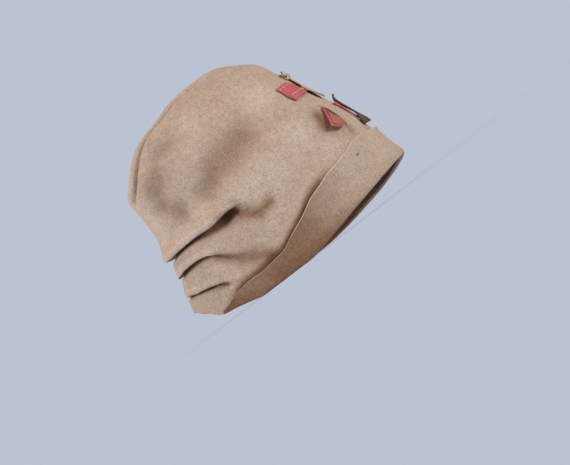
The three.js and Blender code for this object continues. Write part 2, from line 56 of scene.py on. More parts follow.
def smooth_step(value: np.ndarray, low: float, high: float) -> np.ndarray:
    """Rise smoothly from 0 at low to 1 at high."""
    t = np.clip((np.asarray(value, float) - low) / (high - low), 0, 1)
    return t * t * (3 - 2 * t)


def eased(
    t: np.ndarray, start: np.ndarray, end: np.ndarray, rise: np.ndarray, fall: np.ndarray
) -> np.ndarray:
    """Run from start to end as t goes from 0 to 1.

    Args:
        t: The share of the way.
        start: The value at 0.
        end: The value at 1.
        rise: The slope at 0.
        fall: The slope at 1.

    Returns:
        The values on the way.
    """
    return (
        (2 * t**3 - 3 * t**2 + 1) * start
        + (t**3 - 2 * t**2 + t) * rise
        + (3 * t**2 - 2 * t**3) * end
        + (t**3 - t**2) * fall
    )


def by_rows(table: Table, at: np.ndarray, column: int = 1) -> np.ndarray:
    """Read a table smoothly between its rows, without overshoot.

    Args:
        table: Rows whose first column rises.
        at: Places to read, held to the table's range.
        column: The column to read.

    Returns:
        The values there, in the shape of at.
    """
    rows = np.asarray(table, float)
    x, y = rows[:, 0], rows[:, column]
    run = np.diff(x)
    slope = np.diff(y) / run
    bend = np.zeros(len(x))
    both = slope[:-1] * slope[1:]
    total = slope[:-1] + slope[1:]
    bend[1:-1] = np.where(both > 0, 2 * both / np.where(total == 0, 1, total), 0)
    at = np.clip(np.asarray(at, float), x[0], x[-1])
    k = np.clip(np.searchsorted(x, at, side="right") - 1, 0, len(x) - 2)
    t = (at - x[k]) / run[k]
    return eased(t, y[k], y[k + 1], bend[k] * run[k], bend[k + 1] * run[k])


class Lip(IntEnum):
    """The columns of a tuck's rows that follow the angle from the front."""

    HEIGHT = 1
    OUT = 2
    GAP = 3
    DEEP = 4


@dataclass(frozen=True)
class Tuck:
    """One tuck across the nape.

    Its rows give, by the angle from the front: the height of the lip, how far it stands out, the
    height of the shaded gap under it and how deep the felt folds in there.
    """

    name: str
    rows: Table

    def read(self, azimuth: np.ndarray, column: Lip) -> np.ndarray:
        """Read one column at angles on either side."""
        return by_rows(self.rows, np.abs(azimuth), column)


@dataclass(frozen=True)
class Run:
    """One run of a stroke, on to the next: its width, how far it pushes the felt out and its tone, painted
    shade above 0 and painted light below 0.
    """

    angle: float
    way: float
    width: float = 1.0
    push: float = 0.0
    tone: float = 0.0


@dataclass(frozen=True)
class Stroke:
    """A dent, a ridge, a painted shade, a painted light or a stain drawn over the crown from point to point.
    """

    name: str
    runs: tuple[Run, ...]


@dataclass(frozen=True)
class FeltSurface:
    """The blocked felt body, in millimetres: every other piece takes its place from it.

    Angles are in degrees from the front, positive towards the wearer's left. The way runs from 0 at
    the floor line of the rim to 1 at the top of the head.

    A level gives its way, then the front, its height, the back, its height, the half width and the
    side's height, as shares of the hat's own. A rim row gives the height of the rim on the wearer's
    right and left. A profile row gives the share of a lip's stand at a height over the lip. A ripple
    gives its pace along each axis, its phase and its size.
    """

    half_length: float = 120
    half_width: float = 85.5
    height: float = 191.5
    wall_run: float = 250
    felt: float = 2
    widest: float = 0.46
    squareness: float = 2.2
    shift: float = 1.257
    levels: Table = (
        (0.0, 1.014, 0.0, 1.075, 0.0, 1.0, 0.0),
        (0.12, 0.951, 0.1567, 0.996, 0.1567, 1.0, 0.1567),
        (0.24, 0.887, 0.3133, 0.919, 0.3133, 0.988, 0.3133),
        (0.36, 0.808, 0.47, 0.885, 0.47, 0.971, 0.47),
        (0.48, 0.698, 0.6266, 0.883, 0.6266, 0.936, 0.6266),
        (0.57, 0.63, 0.724, 0.89, 0.73, 0.877, 0.727),
        (0.65, 0.567, 0.799, 0.812, 0.802, 0.8, 0.8),
        (0.75, 0.495, 0.8825, 0.618, 0.9, 0.64, 0.891),
        (0.84, 0.375, 0.935, 0.325, 0.963, 0.445, 0.95),
        (0.92, 0.278, 0.967, 0.067, 0.993, 0.235, 0.984),
        (1.0, 0.175, 0.989, -0.175, 0.989, 0.0, 0.989),
    )
    rim: Table = (
        (0, 25.2, 25.2), (20, 23.4, 21.2), (36, 20.3, 16.2), (46, 17.2, 12.4), (61, 11.6, 7.2),
        (74, 5.2, 2.6), (86, 0, 0), (105, 0, 0), (112, 2.6, 2.6), (122, 6.2, 6.2), (130, 8, 8),
        (142, 16.2, 16.2), (150, 20.3, 20.3), (159, 24.4, 24.4), (180, 26.6, 26.6),
    )
    tucks: tuple[Tuck, ...] = (
        Tuck(
            "lowest",
            (
                (0, 39, 0, 1, 0), (60, 24, 0, 1, 0), (90, 15, 0, 1, 0), (108, 18, 0, 1, 0),
                (115, 23.3, 0.4, 1.2, 0.4), (119, 26.8, 0.9, 1.4, 1), (123, 30.8, 1.5, 1.6, 1.8),
                (126.5, 33.2, 2.3, 2.2, 3.2), (131.5, 34.8, 3, 2.6, 4), (138, 36.5, 3.3, 2.8, 4.4),
                (144, 37.5, 3.2, 2.8, 4.4), (153, 39.5, 2.7, 2.7, 4.2), (165, 40, 1.9, 2.2, 3),
                (180, 40, 1.5, 2.2, 2.6),
            ),
        ),
        Tuck(
            "middle",
            (
                (0, 54, 0, 1, 0), (60, 42, 0, 1, 0), (84, 33, 0, 1, 0), (93, 34, 0, 2, 0.2),
                (100, 35.6, 0.3, 2.6, 0.3), (107.3, 39.6, 0.9, 3, 0.6), (113, 46.6, 1.5, 3, 0.9),
                (117, 52, 2.1, 3, 1.6), (120.5, 55.4, 2.8, 3, 3), (124.5, 58, 3.5, 3.6, 4.4),
                (130, 59.7, 4.1, 3.8, 5.2), (136, 60.2, 4.5, 3.9, 5.6), (143, 60.2, 4.5, 3.9, 5.6),
                (152, 59, 3.8, 3.6, 5.2), (165, 58.6, 3, 3, 4.4), (180, 58.4, 2.5, 3, 4),
            ),
        ),
        Tuck(
            "upper",
            (
                (0, 73, 0, 1, 0), (60, 68, 0, 1, 0), (86, 72, 0, 1, 0), (91, 72.5, 0, 5, 0),
                (94, 73.6, 0.3, 7.6, 0.7), (97, 74.6, 1.2, 10.6, 3), (100, 75.2, 2.8, 11.4, 6),
                (105, 74.7, 4.6, 9.6, 7.6), (111, 74.5, 5.2, 6.8, 7.6), (117, 75.5, 5.6, 6, 7.4),
                (124, 76.3, 5.6, 5.6, 7.2), (132, 76.4, 5.6, 5.2, 7), (140, 76.3, 5.6, 4.8, 6.8),
                (150, 76, 5.6, 4.4, 6.6), (165, 76.5, 6, 4.2, 6.2), (180, 77, 6.2, 4.2, 6),
            ),
        ),
    )
    tuck_profile: Table = ((-1.5, 0), (1.6, 0.8), (4.5, 0.92), (8.2, 0.6), (10.4, 0.42), (18, 0.1), (26, 0))
    # A push makes real dents and ridges. A tone above 0 is painted shade in creases, hollows and along
    # tucks; below 0 it is painted light on ridges and the back.
    strokes: tuple[Stroke, ...] = (
        Stroke(
            "back crease",
            (
                Run(62, 0.862, 4, -2.4), Run(90, 0.876, 3.8, -3.6, 0.2),
                Run(112, 0.852, 3.6, -4.6, 0.36), Run(126, 0.806, 3.4, -4.8, 0.44),
                Run(134, 0.754, 3.2, -5, 0.5), Run(138.5, 0.7, 3.2, -5, 0.52),
                Run(139.5, 0.65, 3.2, -4.8, 0.56), Run(140, 0.61, 3.4, -4.2, 0.56),
                Run(145, 0.575, 3.6, -3.2, 0.4), Run(153, 0.55),
            ),
        ),
        Stroke(
            "crease ridge",
            (
                Run(64, 0.815, 6, 0.8), Run(100, 0.825, 6, 1), Run(120, 0.76, 6, 1.2),
                Run(128, 0.69, 6, 1.2), Run(126, 0.6),
            ),
        ),
        Stroke(
            "back hollow",
            (
                Run(105, 0.674, 11, -4.4), Run(122, 0.655, 11, -4), Run(118, 0.53, 11, -4.4),
                Run(132, 0.44, 10, -3.8), Run(122, 0.375),
            ),
        ),
        Stroke("back ridge", (Run(92, 0.6, 12, 1.2), Run(104, 0.5, 12, 1.4), Run(116, 0.41))),
        Stroke(
            "side hollow",
            (
                Run(42, 0.48, 12, -1.8), Run(60, 0.484, 13, -4.6), Run(84, 0.458, 11, -5),
                Run(103, 0.395),
            ),
        ),
        Stroke("side ridge", (Run(61, 0.389, 13, 1.6), Run(83, 0.374, 12, 1.6), Run(112, 0.329))),
        Stroke("tuck pocket", (Run(97, 0.284, 6.5, -4.8), Run(105, 0.28, 5, -2.6), Run(118, 0.28))),
        Stroke("tuck tail", (Run(95, 0.272, 5.5, -4.2), Run(89, 0.236, 5.5, -3.6), Run(83.5, 0.246))),
        Stroke("tuck pillow", (Run(96, 0.235, 9, 1.8), Run(104, 0.222))),
        Stroke(
            "shade of the side hollow",
            (
                Run(50, 0.463, 13, 0, 0.1), Run(71, 0.474, 17, 0, 0.28), Run(90, 0.452, 12, 0, 0.3),
                Run(103, 0.385),
            ),
        ),
        Stroke("shade of the upper hollow", (Run(108, 0.66, 11, 0, 0.2), Run(116.5, 0.666))),
        Stroke("shade of the back hollow", (Run(120, 0.586, 12, 0, 0.26), Run(127, 0.53))),
        Stroke("shade of its foot", (Run(131.8, 0.455, 11, 0, 0.27), Run(122, 0.409))),
        Stroke("shade of the top", (Run(60, 0.77, 20, 0, 0.08), Run(84, 0.79))),
        Stroke("pale front", (Run(40, 0.57, 13, 0, -0.16), Run(51, 0.52))),
        Stroke(
            "pale side ridge",
            (
                Run(55, 0.382, 14, 0, -0.14), Run(72, 0.333, 12, 0, -0.22), Run(90, 0.346, 9, 0, -0.22),
                Run(115, 0.364),
            ),
        ),
        Stroke("pale back ridge", (Run(86, 0.685, 10, 0, -0.08), Run(98, 0.49))),
        Stroke("pale over the tucks", (Run(118, 0.35, 9, 0, -0.14), Run(137, 0.35))),
        Stroke("pale back", (Run(150, 0.42, 26, 0, -0.2), Run(160, 0.6))),
        Stroke("middle tuck run", (Run(118.5, 0.203, 5, 0, 0.42), Run(107, 0.15, 6, 0, 0.4), Run(95, 0.1))),
        Stroke("upper tuck end", (Run(104, 0.29, 9, 0, 0.34), Run(98.5, 0.281))),
        Stroke(
            "upper tuck arm",
            (
                Run(97, 0.276, 5, 0, 0.56), Run(89.5, 0.232, 4.4, 0, 0.54), Run(84.5, 0.242),
            ),
        ),
        Stroke(
            "lowest tuck",
            (
                Run(120, 0.108, 2.6, 0, 0.5), Run(130, 0.132, 2.6, 0, 0.6), Run(156, 0.154),
            ),
        ),
    )
    # Near side only: the painted shadow that the lifted rose cup casts on the crown, and a real stain
    # (smudge).
    near_strokes: tuple[Stroke, ...] = (
        Stroke("cup shade", (Run(33.5, 0.378, 7, 0, 0.5), Run(38, 0.336))),
        Stroke("smudge", (Run(24, 0.288, 5, 0, 0.28), Run(27, 0.272))),
    )
    hidden_side: float = 0.5
    middle_band: float = 20
    turn_step: float = 0.6
    way_step: float = 0.004
    upright_band: Band = (0.3, 0.5)
    top_band: Band = (0.97, 0.995)
    ripples: Table = (
        (0.11, 0.05, 0.02, 0.3, 0.45), (-0.06, 0.09, 0.07, 1.9, 0.4), (0.03, -0.12, 0.13, 4.1, 0.3),
        (0.19, 0.08, -0.11, 2.3, 0.16), (-0.15, 0.21, 0.17, 5.2, 0.12), (0.31, 0.17, 0.26, 0.8, 0.07),
    )

    def level(self, way: np.ndarray) -> np.ndarray:
        """Read the oval of the crown at each way.

        Args:
            way: Places on the way up, from 0 to 1.

        Returns:
            Front, its height, back, its height, half width and side height, on the last axis.
        """
        rows = np.asarray(self.levels, float)
        length, width, height = self.half_length, self.half_width, self.height
        rows = rows * np.array([1, length, height, -length, height, width, height])
        below = 2 * rows[0] - rows[1]
        way_in, front, front_up, back, back_up, half, side_up = rows[-2]
        beyond = np.array([2 * rows[-1, 0] - way_in, back, back_up, front, front_up, -half, side_up])
        rows = np.vstack([below, rows, beyond])
        x = rows[:, 0]
        way = np.asarray(way, float)
        k = np.clip(np.searchsorted(x, way, side="right") - 1, 1, len(x) - 3)
        run = x[k + 1] - x[k]
        t = ((way - x[k]) / run)[..., None]
        slope_a = (rows[k + 1] - rows[k - 1]) / (x[k + 1] - x[k - 1])[..., None] * run[..., None]
        slope_b = (rows[k + 2] - rows[k]) / (x[k + 2] - x[k])[..., None] * run[..., None]
        return eased(t, rows[k], rows[k + 1], slope_a, slope_b)[..., 1:]

    def plain(self, azimuth: np.ndarray, way: np.ndarray) -> np.ndarray:
        """Give points on the plain oval crown, before any fold."""
        azimuth, way = np.broadcast_arrays(np.asarray(azimuth, float), np.asarray(way, float))
        front, front_up, back, back_up, half, side_up = np.moveaxis(self.level(way), -1, 0)
        c, s = np.cos(np.radians(azimuth)), np.sin(np.radians(azimuth))
        power = 2 / self.squareness
        centre = back + self.widest * (front - back)
        reach = np.where(c > 0, front - centre, centre - back)
        rise = np.where(c > 0, front_up, back_up) - side_up
        return np.stack(
            [
                centre + reach * np.sign(c) * np.abs(c) ** power + self.shift,
                half * np.sign(s) * np.abs(s) ** power,
                side_up + rise * c * c,
            ],
            -1,
        )

    def outward(self, azimuth: np.ndarray, way: np.ndarray) -> np.ndarray:
        """Give the outward directions: level on the wall, square to the felt over the top."""
        azimuth, way = np.broadcast_arrays(np.asarray(azimuth, float), np.asarray(way, float))
        turn, step = self.turn_step, self.way_step
        way_in = np.minimum(way, 1 - step)
        around = self.plain(azimuth + turn, way_in) - self.plain(azimuth - turn, way_in)
        upward = self.plain(azimuth, way_in) - self.plain(azimuth, np.maximum(way_in - step, 0) - step)
        normal = np.cross(around, upward)
        normal[..., 2] *= smooth_step(way, *self.upright_band)
        normal /= np.linalg.norm(normal, axis=-1, keepdims=True)
        top = smooth_step(way, *self.top_band)[..., None]
        normal = normal * (1 - top) + np.array([0, 0, 1.0]) * top
        return normal / np.linalg.norm(normal, axis=-1, keepdims=True)

    def rim_height(self, azimuth: np.ndarray) -> np.ndarray:
        """Give the height of the rim, which dips a little lower on the wearer's left."""
        near, far = (by_rows(self.rim, np.abs(azimuth), column) for column in (1, 2))
        return np.where(np.asarray(azimuth) < 0, near, far)

    def tuck_push(self, azimuth: np.ndarray, height: np.ndarray, leave_out: int = -1) -> np.ndarray:
        """Say how far the tucks push the felt out at a height, leaving one tuck out where asked."""
        push = np.zeros(np.broadcast(azimuth, height).shape)
        for number, tuck in enumerate(self.tucks):
            if number != leave_out:
                share = by_rows(self.tuck_profile, height - tuck.read(azimuth, Lip.HEIGHT))
                push = push + tuck.read(azimuth, Lip.OUT) * share
        return push

    def gathered(self, strokes: tuple[Stroke, ...], column: str, points: np.ndarray) -> np.ndarray:
        """Add up strokes drawn over the crown, the same on both sides.

        Args:
            strokes: The strokes to add up.
            column: What of their runs is added up, push or tone.
            points: Points of the plain crown.

        Returns:
            The deepest of the runs below 0 plus the highest above it, at each point.
        """
        mirrored = points.copy()
        mirrored[..., 1] = np.abs(mirrored[..., 1])
        low, high = np.zeros(points.shape[:-1]), np.zeros(points.shape[:-1])
        pairs = [pair for stroke in strokes for pair in zip(stroke.runs, stroke.runs[1:])]
        for run, after in (pair for pair in pairs if getattr(pair[0], column)):
            start, end = self.plain(run.angle, run.way), self.plain(after.angle, after.way)
            along = end - start
            t = np.clip(((mirrored - start) @ along) / (along @ along), 0, 1)
            gap = np.linalg.norm(mirrored - start - t[..., None] * along, axis=-1)
            share = getattr(run, column) * np.exp(-((gap / run.width) ** 2))
            low, high = np.minimum(low, share), np.maximum(high, share)
        return low + high

    def soft_push(self, points: np.ndarray) -> np.ndarray:
        """Say how far the soft dents and ridges push the felt at points of the plain crown."""
        return self.gathered(self.strokes, "push", points)

    def tone(self, points: np.ndarray) -> np.ndarray:
        """Give the painted shade and light at points of the plain crown, less on the hidden side, with the
        near strokes on top.
        """
        seen = smooth_step(-points[..., 1], -self.middle_band, self.middle_band)
        strength = self.hidden_side + (1 - self.hidden_side) * seen
        near = self.gathered(self.near_strokes, "tone", points) * seen
        return self.gathered(self.strokes, "tone", points) * strength + near

    def ripple(self, points: np.ndarray) -> np.ndarray:
        """Give the slight unevenness of hand-blocked felt."""
        return sum(
            size * np.sin(points[..., 0] * fx + points[..., 1] * fy + points[..., 2] * fz + phase)
            for fx, fy, fz, phase, size in self.ripples
        )

    def skin(self, azimuth: np.ndarray, way: np.ndarray, out: np.ndarray = 0.0) -> np.ndarray:
        """Give points on the outer face of the finished crown, moved out by a distance."""
        plain = self.plain(azimuth, way)
        push = self.soft_push(plain) + self.ripple(plain)
        push = push + self.tuck_push(azimuth, np.asarray(way) * self.wall_run)
        return plain + self.outward(azimuth, way) * (push + out)[..., None]


class Workshop:
    """The few hand moves that every piece is made with."""

    @staticmethod
    def deselect() -> None:
        """Leave object mode with nothing selected."""
        if bpy.context.object and bpy.context.object.mode != "OBJECT":
            bpy.ops.object.mode_set(mode="OBJECT")
        bpy.ops.object.select_all(action="DESELECT")

    @staticmethod
    def take(piece: bpy.types.Object) -> None:
        """Select one piece alone and make it active."""
        Workshop.deselect()
        piece.select_set(True)
        bpy.context.view_layer.objects.active = piece

    @staticmethod
    def wrapped_grid(
        name: str, points: np.ndarray, tone: np.ndarray | None = None, merge: float = 2e-6
    ) -> bpy.types.Object:
        """Lay a grid over rows of points and merge what meets.

        Args:
            name: The piece's name.
            points: Millimetre points, rows first, then columns.
            tone: Painted shade above 0 or painted light below 0 at each point, from -1 to 1, with a few real
                stains.
            merge: Distance in metres under which neighbours become one.

        Returns:
            The new piece, at the origin, with its place in its mesh.
        """
        rows, columns = points.shape[:2]
        Workshop.deselect()
        bpy.ops.mesh.primitive_grid_add(x_subdivisions=columns - 1, y_subdivisions=rows - 1, size=2)
        piece = bpy.context.object
        piece.name = piece.data.name = name
        mesh = piece.data
        flat = np.empty(len(mesh.vertices) * 3, np.float32)
        mesh.vertices.foreach_get("co", flat)
        flat = flat.reshape(-1, 3)
        i = np.rint((flat[:, 0] + 1) / 2 * (columns - 1)).astype(int)
        j = np.rint((flat[:, 1] + 1) / 2 * (rows - 1)).astype(int)
        mesh.vertices.foreach_set("co", (points[j, i] * MM).astype(np.float32).ravel())
        if tone is not None:
            kept = mesh.attributes.new("tone", "FLOAT", "POINT")
            kept.data.foreach_set("value", tone[j, i].astype(np.float32))
        mesh.update()
        bpy.ops.object.mode_set(mode="EDIT")
        bpy.ops.mesh.select_all(action="SELECT")
        bpy.ops.mesh.remove_doubles(threshold=merge)
        bpy.ops.object.mode_set(mode="OBJECT")
        bpy.ops.object.shade_smooth()
        return piece

    @staticmethod
    def apply(piece: bpy.types.Object, kind: str, **settings: object) -> None:
        """Add a modifier, set it up and apply it."""
        Workshop.take(piece)
        added = piece.modifiers.new(kind.title(), kind)
        for key, value in settings.items():
            setattr(added, key, value)
        bpy.ops.object.modifier_apply(modifier=added.name)

    @staticmethod
    def sheet(name: str, points: np.ndarray, thickness: float, edge: float) -> bpy.types.Object:
        """Make a felt piece of even thickness over a grid of points, with its cut edges eased.

        Args:
            name: The piece's name.
            points: Millimetre points of its lower face, rows first, facing out.
            thickness: Its thickness in millimetres.
            edge: How far its cut edges are eased, in millimetres.

        Returns:
            The new piece.
        """
        piece = Workshop.wrapped_grid(name, points)
        Workshop.apply(piece, "SOLIDIFY", thickness=thickness * MM, offset=1.0, use_even_offset=True)
        Workshop.apply(
            piece,
            "BEVEL",
            width=edge * MM,
            segments=2,
            limit_method="ANGLE",
            angle_limit=math.radians(50),
        )
        Workshop.take(piece)
        bpy.ops.object.shade_smooth()
        return piece

    @staticmethod
    def dress(piece: bpy.types.Object, slot: str, *materials: bpy.types.Material) -> None:
        """Give a piece its finish and its body."""
        piece.data.materials.clear()
        for material in materials:
            piece.data.materials.append(material)
        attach(piece, ROOT)
        LOG.info("%s: %d faces", piece.name, len(piece.data.polygons))


class Nodes:
    """A short hand for building one material's nodes."""

    # Tints from the tone attribute: paler is painted light, darker is painted shade, with a few real stains.
    TINTS: Stops = (
        (0, (1.8, 1.92, 2.1)),
        (0.5, (1, 1, 1)),
        (0.75, (0.46, 0.345, 0.255)),
        (1, (0.13, 0.06, 0.03)),
    )

    def __init__(self, name: str) -> None:
        """Start an empty material.

        Args:
            name: The material's name.
        """
        self.material = bpy.data.materials.new(name)
        self.material.use_nodes = True
        self.tree = self.material.node_tree
        self.shader = next(node for node in self.tree.nodes if node.type == "BSDF_PRINCIPLED")
        self.place = self.tree.nodes.new("ShaderNodeTexCoord").outputs["Object"]

    def add(self, kind: str, **settings: object) -> bpy.types.Node:
        """Add a node and set its properties."""
        node = self.tree.nodes.new(kind)
        for key, value in settings.items():
            setattr(node, key, value)
        return node

    def link(self, source: bpy.types.NodeSocket, target: bpy.types.NodeSocket) -> None:
        """Join two sockets."""
        self.tree.links.new(source, target)

    def settle(self, node: bpy.types.Node, values: dict[str, object]) -> None:
        """Set values of a node's inputs by name."""
        for name, value in values.items():
            node.inputs[name].default_value = value

    def stretched(self, scale: tuple[float, float, float]) -> bpy.types.NodeSocket:
        """Give the object's coordinates stretched by a scale on each axis."""
        node = self.add("ShaderNodeMapping")
        self.settle(node, {"Scale": scale})
        self.link(self.place, node.inputs["Vector"])
        return node.outputs["Vector"]

    def noise(
        self, scale: float, detail: float, rough: float, where: bpy.types.NodeSocket | None = None
    ) -> bpy.types.NodeSocket:
        """Add a noise over the object and give its value socket."""
        node = self.add("ShaderNodeTexNoise")
        self.settle(node, {"Scale": scale, "Detail": detail, "Roughness": rough})
        self.link(where or self.place, node.inputs["Vector"])
        return node.outputs["Fac"]

    def ramp(self, source: bpy.types.NodeSocket, stops: Stops) -> bpy.types.NodeSocket:
        """Turn a value into a colour through stops."""
        node = self.add("ShaderNodeValToRGB")
        band = node.color_ramp
        while len(band.elements) < len(stops):
            band.elements.new(0.5)
        for element, (place, colour) in zip(band.elements, stops):
            element.position = place
            element.color = (*colour, 1)
        self.link(source, node.inputs["Fac"])
        return node.outputs["Color"]

    def multiplied(
        self, share: float, a: bpy.types.NodeSocket, b: bpy.types.NodeSocket
    ) -> bpy.types.NodeSocket:
        """Multiply two colours by a share."""
        node = self.add("ShaderNodeMix", data_type="RGBA", blend_type="MULTIPLY")
        node.inputs[0].default_value = share
        self.link(a, node.inputs[6])
        self.link(b, node.inputs[7])
        return node.outputs[2]

    def shading_and_stain_tint(self) -> bpy.types.NodeSocket:
        """Give the tint of the piece's tone attribute: painted shade in its folds and hollows, painted
        highlight on its cut edges, and a few real stains.
        """
        tone = self.add("ShaderNodeAttribute", attribute_name="tone")
        spread = self.add("ShaderNodeMapRange")
        self.settle(spread, {"From Min": -1})
        self.link(tone.outputs["Fac"], spread.inputs["Value"])
        return self.ramp(spread.outputs["Result"], self.TINTS)

    def bump(
        self,
        height: bpy.types.NodeSocket,
        strength: float,
        depth: float,
        under: bpy.types.NodeSocket | None = None,
    ) -> bpy.types.NodeSocket:
        """Raise the surface by a height map, over an earlier bump where given."""
        node = self.add("ShaderNodeBump")
        self.settle(node, {"Strength": strength, "Distance": depth})
        self.link(height, node.inputs["Height"])
        if under is not None:
            self.link(under, node.inputs["Normal"])
        return node.outputs["Normal"]


@dataclass(frozen=True)
class FeltFinish:
    """Wool felt: clouded in its dye, mottled in its nap, with fine fibres and a soft sheen."""

    name: str
    base: Colour
    deep: Colour
    pale: Colour
    mottle: float = 0.7
    nap: float = 1.0
    sheen: float = 0.5
    cloud_scale: float = 24
    swell_scale: float = 62
    tuft_scale: float = 190
    grain_scale: float = 620
    fibre_scale: float = 1400
    fibre_stretch: tuple[float, float, float] = (1, 1.6, 0.7)
    fibre_share: float = 0.5
    speck: Stops = ((0.32, (0.9, 0.88, 0.86)), (0.5, (1, 1, 1)), (0.68, (1.08, 1.08, 1.09)))
    pill: Stops = ((0.33, (0.74, 0.71, 0.68)), (0.5, (1, 1, 1)), (0.67, (1.2, 1.21, 1.22)))
    hair: Stops = ((0.3, (0.82, 0.82, 0.82)), (0.52, (1, 1, 1)), (0.75, (1.18, 1.18, 1.18)))

    def material(self) -> bpy.types.Material:
        """Build the finish as a material."""
        nodes = Nodes(self.name)
        clouds = nodes.noise(self.cloud_scale, 4, 0.6)
        tufts = nodes.noise(self.tuft_scale, 4, 0.6)
        grain = nodes.noise(self.grain_scale, 3, 0.6)
        fibres = nodes.noise(self.fibre_scale, 3, 0.7, nodes.stretched(self.fibre_stretch))
        colour = nodes.ramp(clouds, ((0.3, self.deep), (0.52, self.base), (0.75, self.pale)))
        colour = nodes.multiplied(self.mottle, colour, nodes.ramp(tufts, self.speck))
        colour = nodes.multiplied(self.mottle, colour, nodes.ramp(grain, self.pill))
        colour = nodes.multiplied(self.fibre_share, colour, nodes.ramp(fibres, self.hair))
        # Painted shade and light, and a few real stains, from the tone attribute, multiplied into the felt.
        colour = nodes.multiplied(1.0, colour, nodes.shading_and_stain_tint())
        nodes.link(colour, nodes.shader.inputs["Base Color"])
        nodes.link(colour, nodes.shader.inputs["Sheen Tint"])
        felted = {"Roughness": 0.94, "Specular IOR Level": 0.1, "Sheen Roughness": 0.6}
        nodes.settle(nodes.shader, felted | {"Sheen Weight": self.sheen})
        relief = None
        swell = nodes.noise(self.swell_scale, 3, 0.55)
        for height, strength, depth in (
            (swell, 0.55, 0.0024),
            (tufts, 0.9, 0.0015),
            (grain, 0.9, 0.0008),
            (fibres, 0.4, 0.00025),
        ):
            relief = nodes.bump(height, strength * self.nap, depth, relief)
        nodes.link(relief, nodes.shader.inputs["Normal"])
        return nodes.material


@dataclass(frozen=True)
class ThreadFinish:
    """Metallic thread: fine bright windings over a dull core."""

    name: str
    base: Colour
    deep: Colour
    wind_scale: float = 2600
    wind_stretch: tuple[float, float, float] = (1, 0.4, 1.4)

    def material(self) -> bpy.types.Material:
        """Build the finish as a material."""
        nodes = Nodes(self.name)
        wind = nodes.noise(self.wind_scale, 2, 0.5, nodes.stretched(self.wind_stretch))
        colour = nodes.ramp(wind, ((0.36, self.deep), (0.62, self.base)))
        nodes.link(colour, nodes.shader.inputs["Base Color"])
        nodes.settle(nodes.shader, {"Metallic": 0.55, "Roughness": 0.42})
        nodes.link(nodes.bump(wind, 0.6, 0.0003), nodes.shader.inputs["Normal"])
        return nodes.material


class Finish(Enum):
    """The finishes that the hat is dressed in."""

    BODY = FeltFinish("body_wool", (0.44, 0.33, 0.256), (0.4, 0.292, 0.218), (0.475, 0.365, 0.292))
    ROSE = FeltFinish(
        "rose_wool", (0.47, 0.105, 0.125), (0.4, 0.085, 0.105), (0.52, 0.135, 0.155),
        mottle=0.4, nap=0.7,
    )
    BEIGE = FeltFinish(
        "beige_wool", (0.49, 0.345, 0.245), (0.43, 0.295, 0.2), (0.53, 0.385, 0.285),
        mottle=0.45, nap=0.8,
    )
    BROWN = FeltFinish(
        "brown_wool", (0.115, 0.07, 0.042), (0.08, 0.048, 0.028), (0.16, 0.1, 0.06),
        mottle=0.5, nap=0.8, sheen=0.2,
    )
    TAN = FeltFinish(
        "tan_wool", (0.34, 0.15, 0.1), (0.27, 0.11, 0.07), (0.4, 0.19, 0.13),
        mottle=0.5, nap=0.8, sheen=0.2,
    )
    # A dark felt finish that paints the shade under the lifted beige tab.
    SHADE = FeltFinish(
        "painted_shade_wool", (0.06, 0.034, 0.02), (0.04, 0.022, 0.014), (0.085, 0.05, 0.03),
        mottle=0.3, nap=0.5, sheen=0.05,
    )
    GOLD = ThreadFinish("gold_winding", (0.68, 0.5, 0.25), (0.32, 0.22, 0.1))

    def made(self) -> bpy.types.Material:
        """Give the material, building it the first time."""
        return bpy.data.materials.get(self.value.name) or self.value.material()


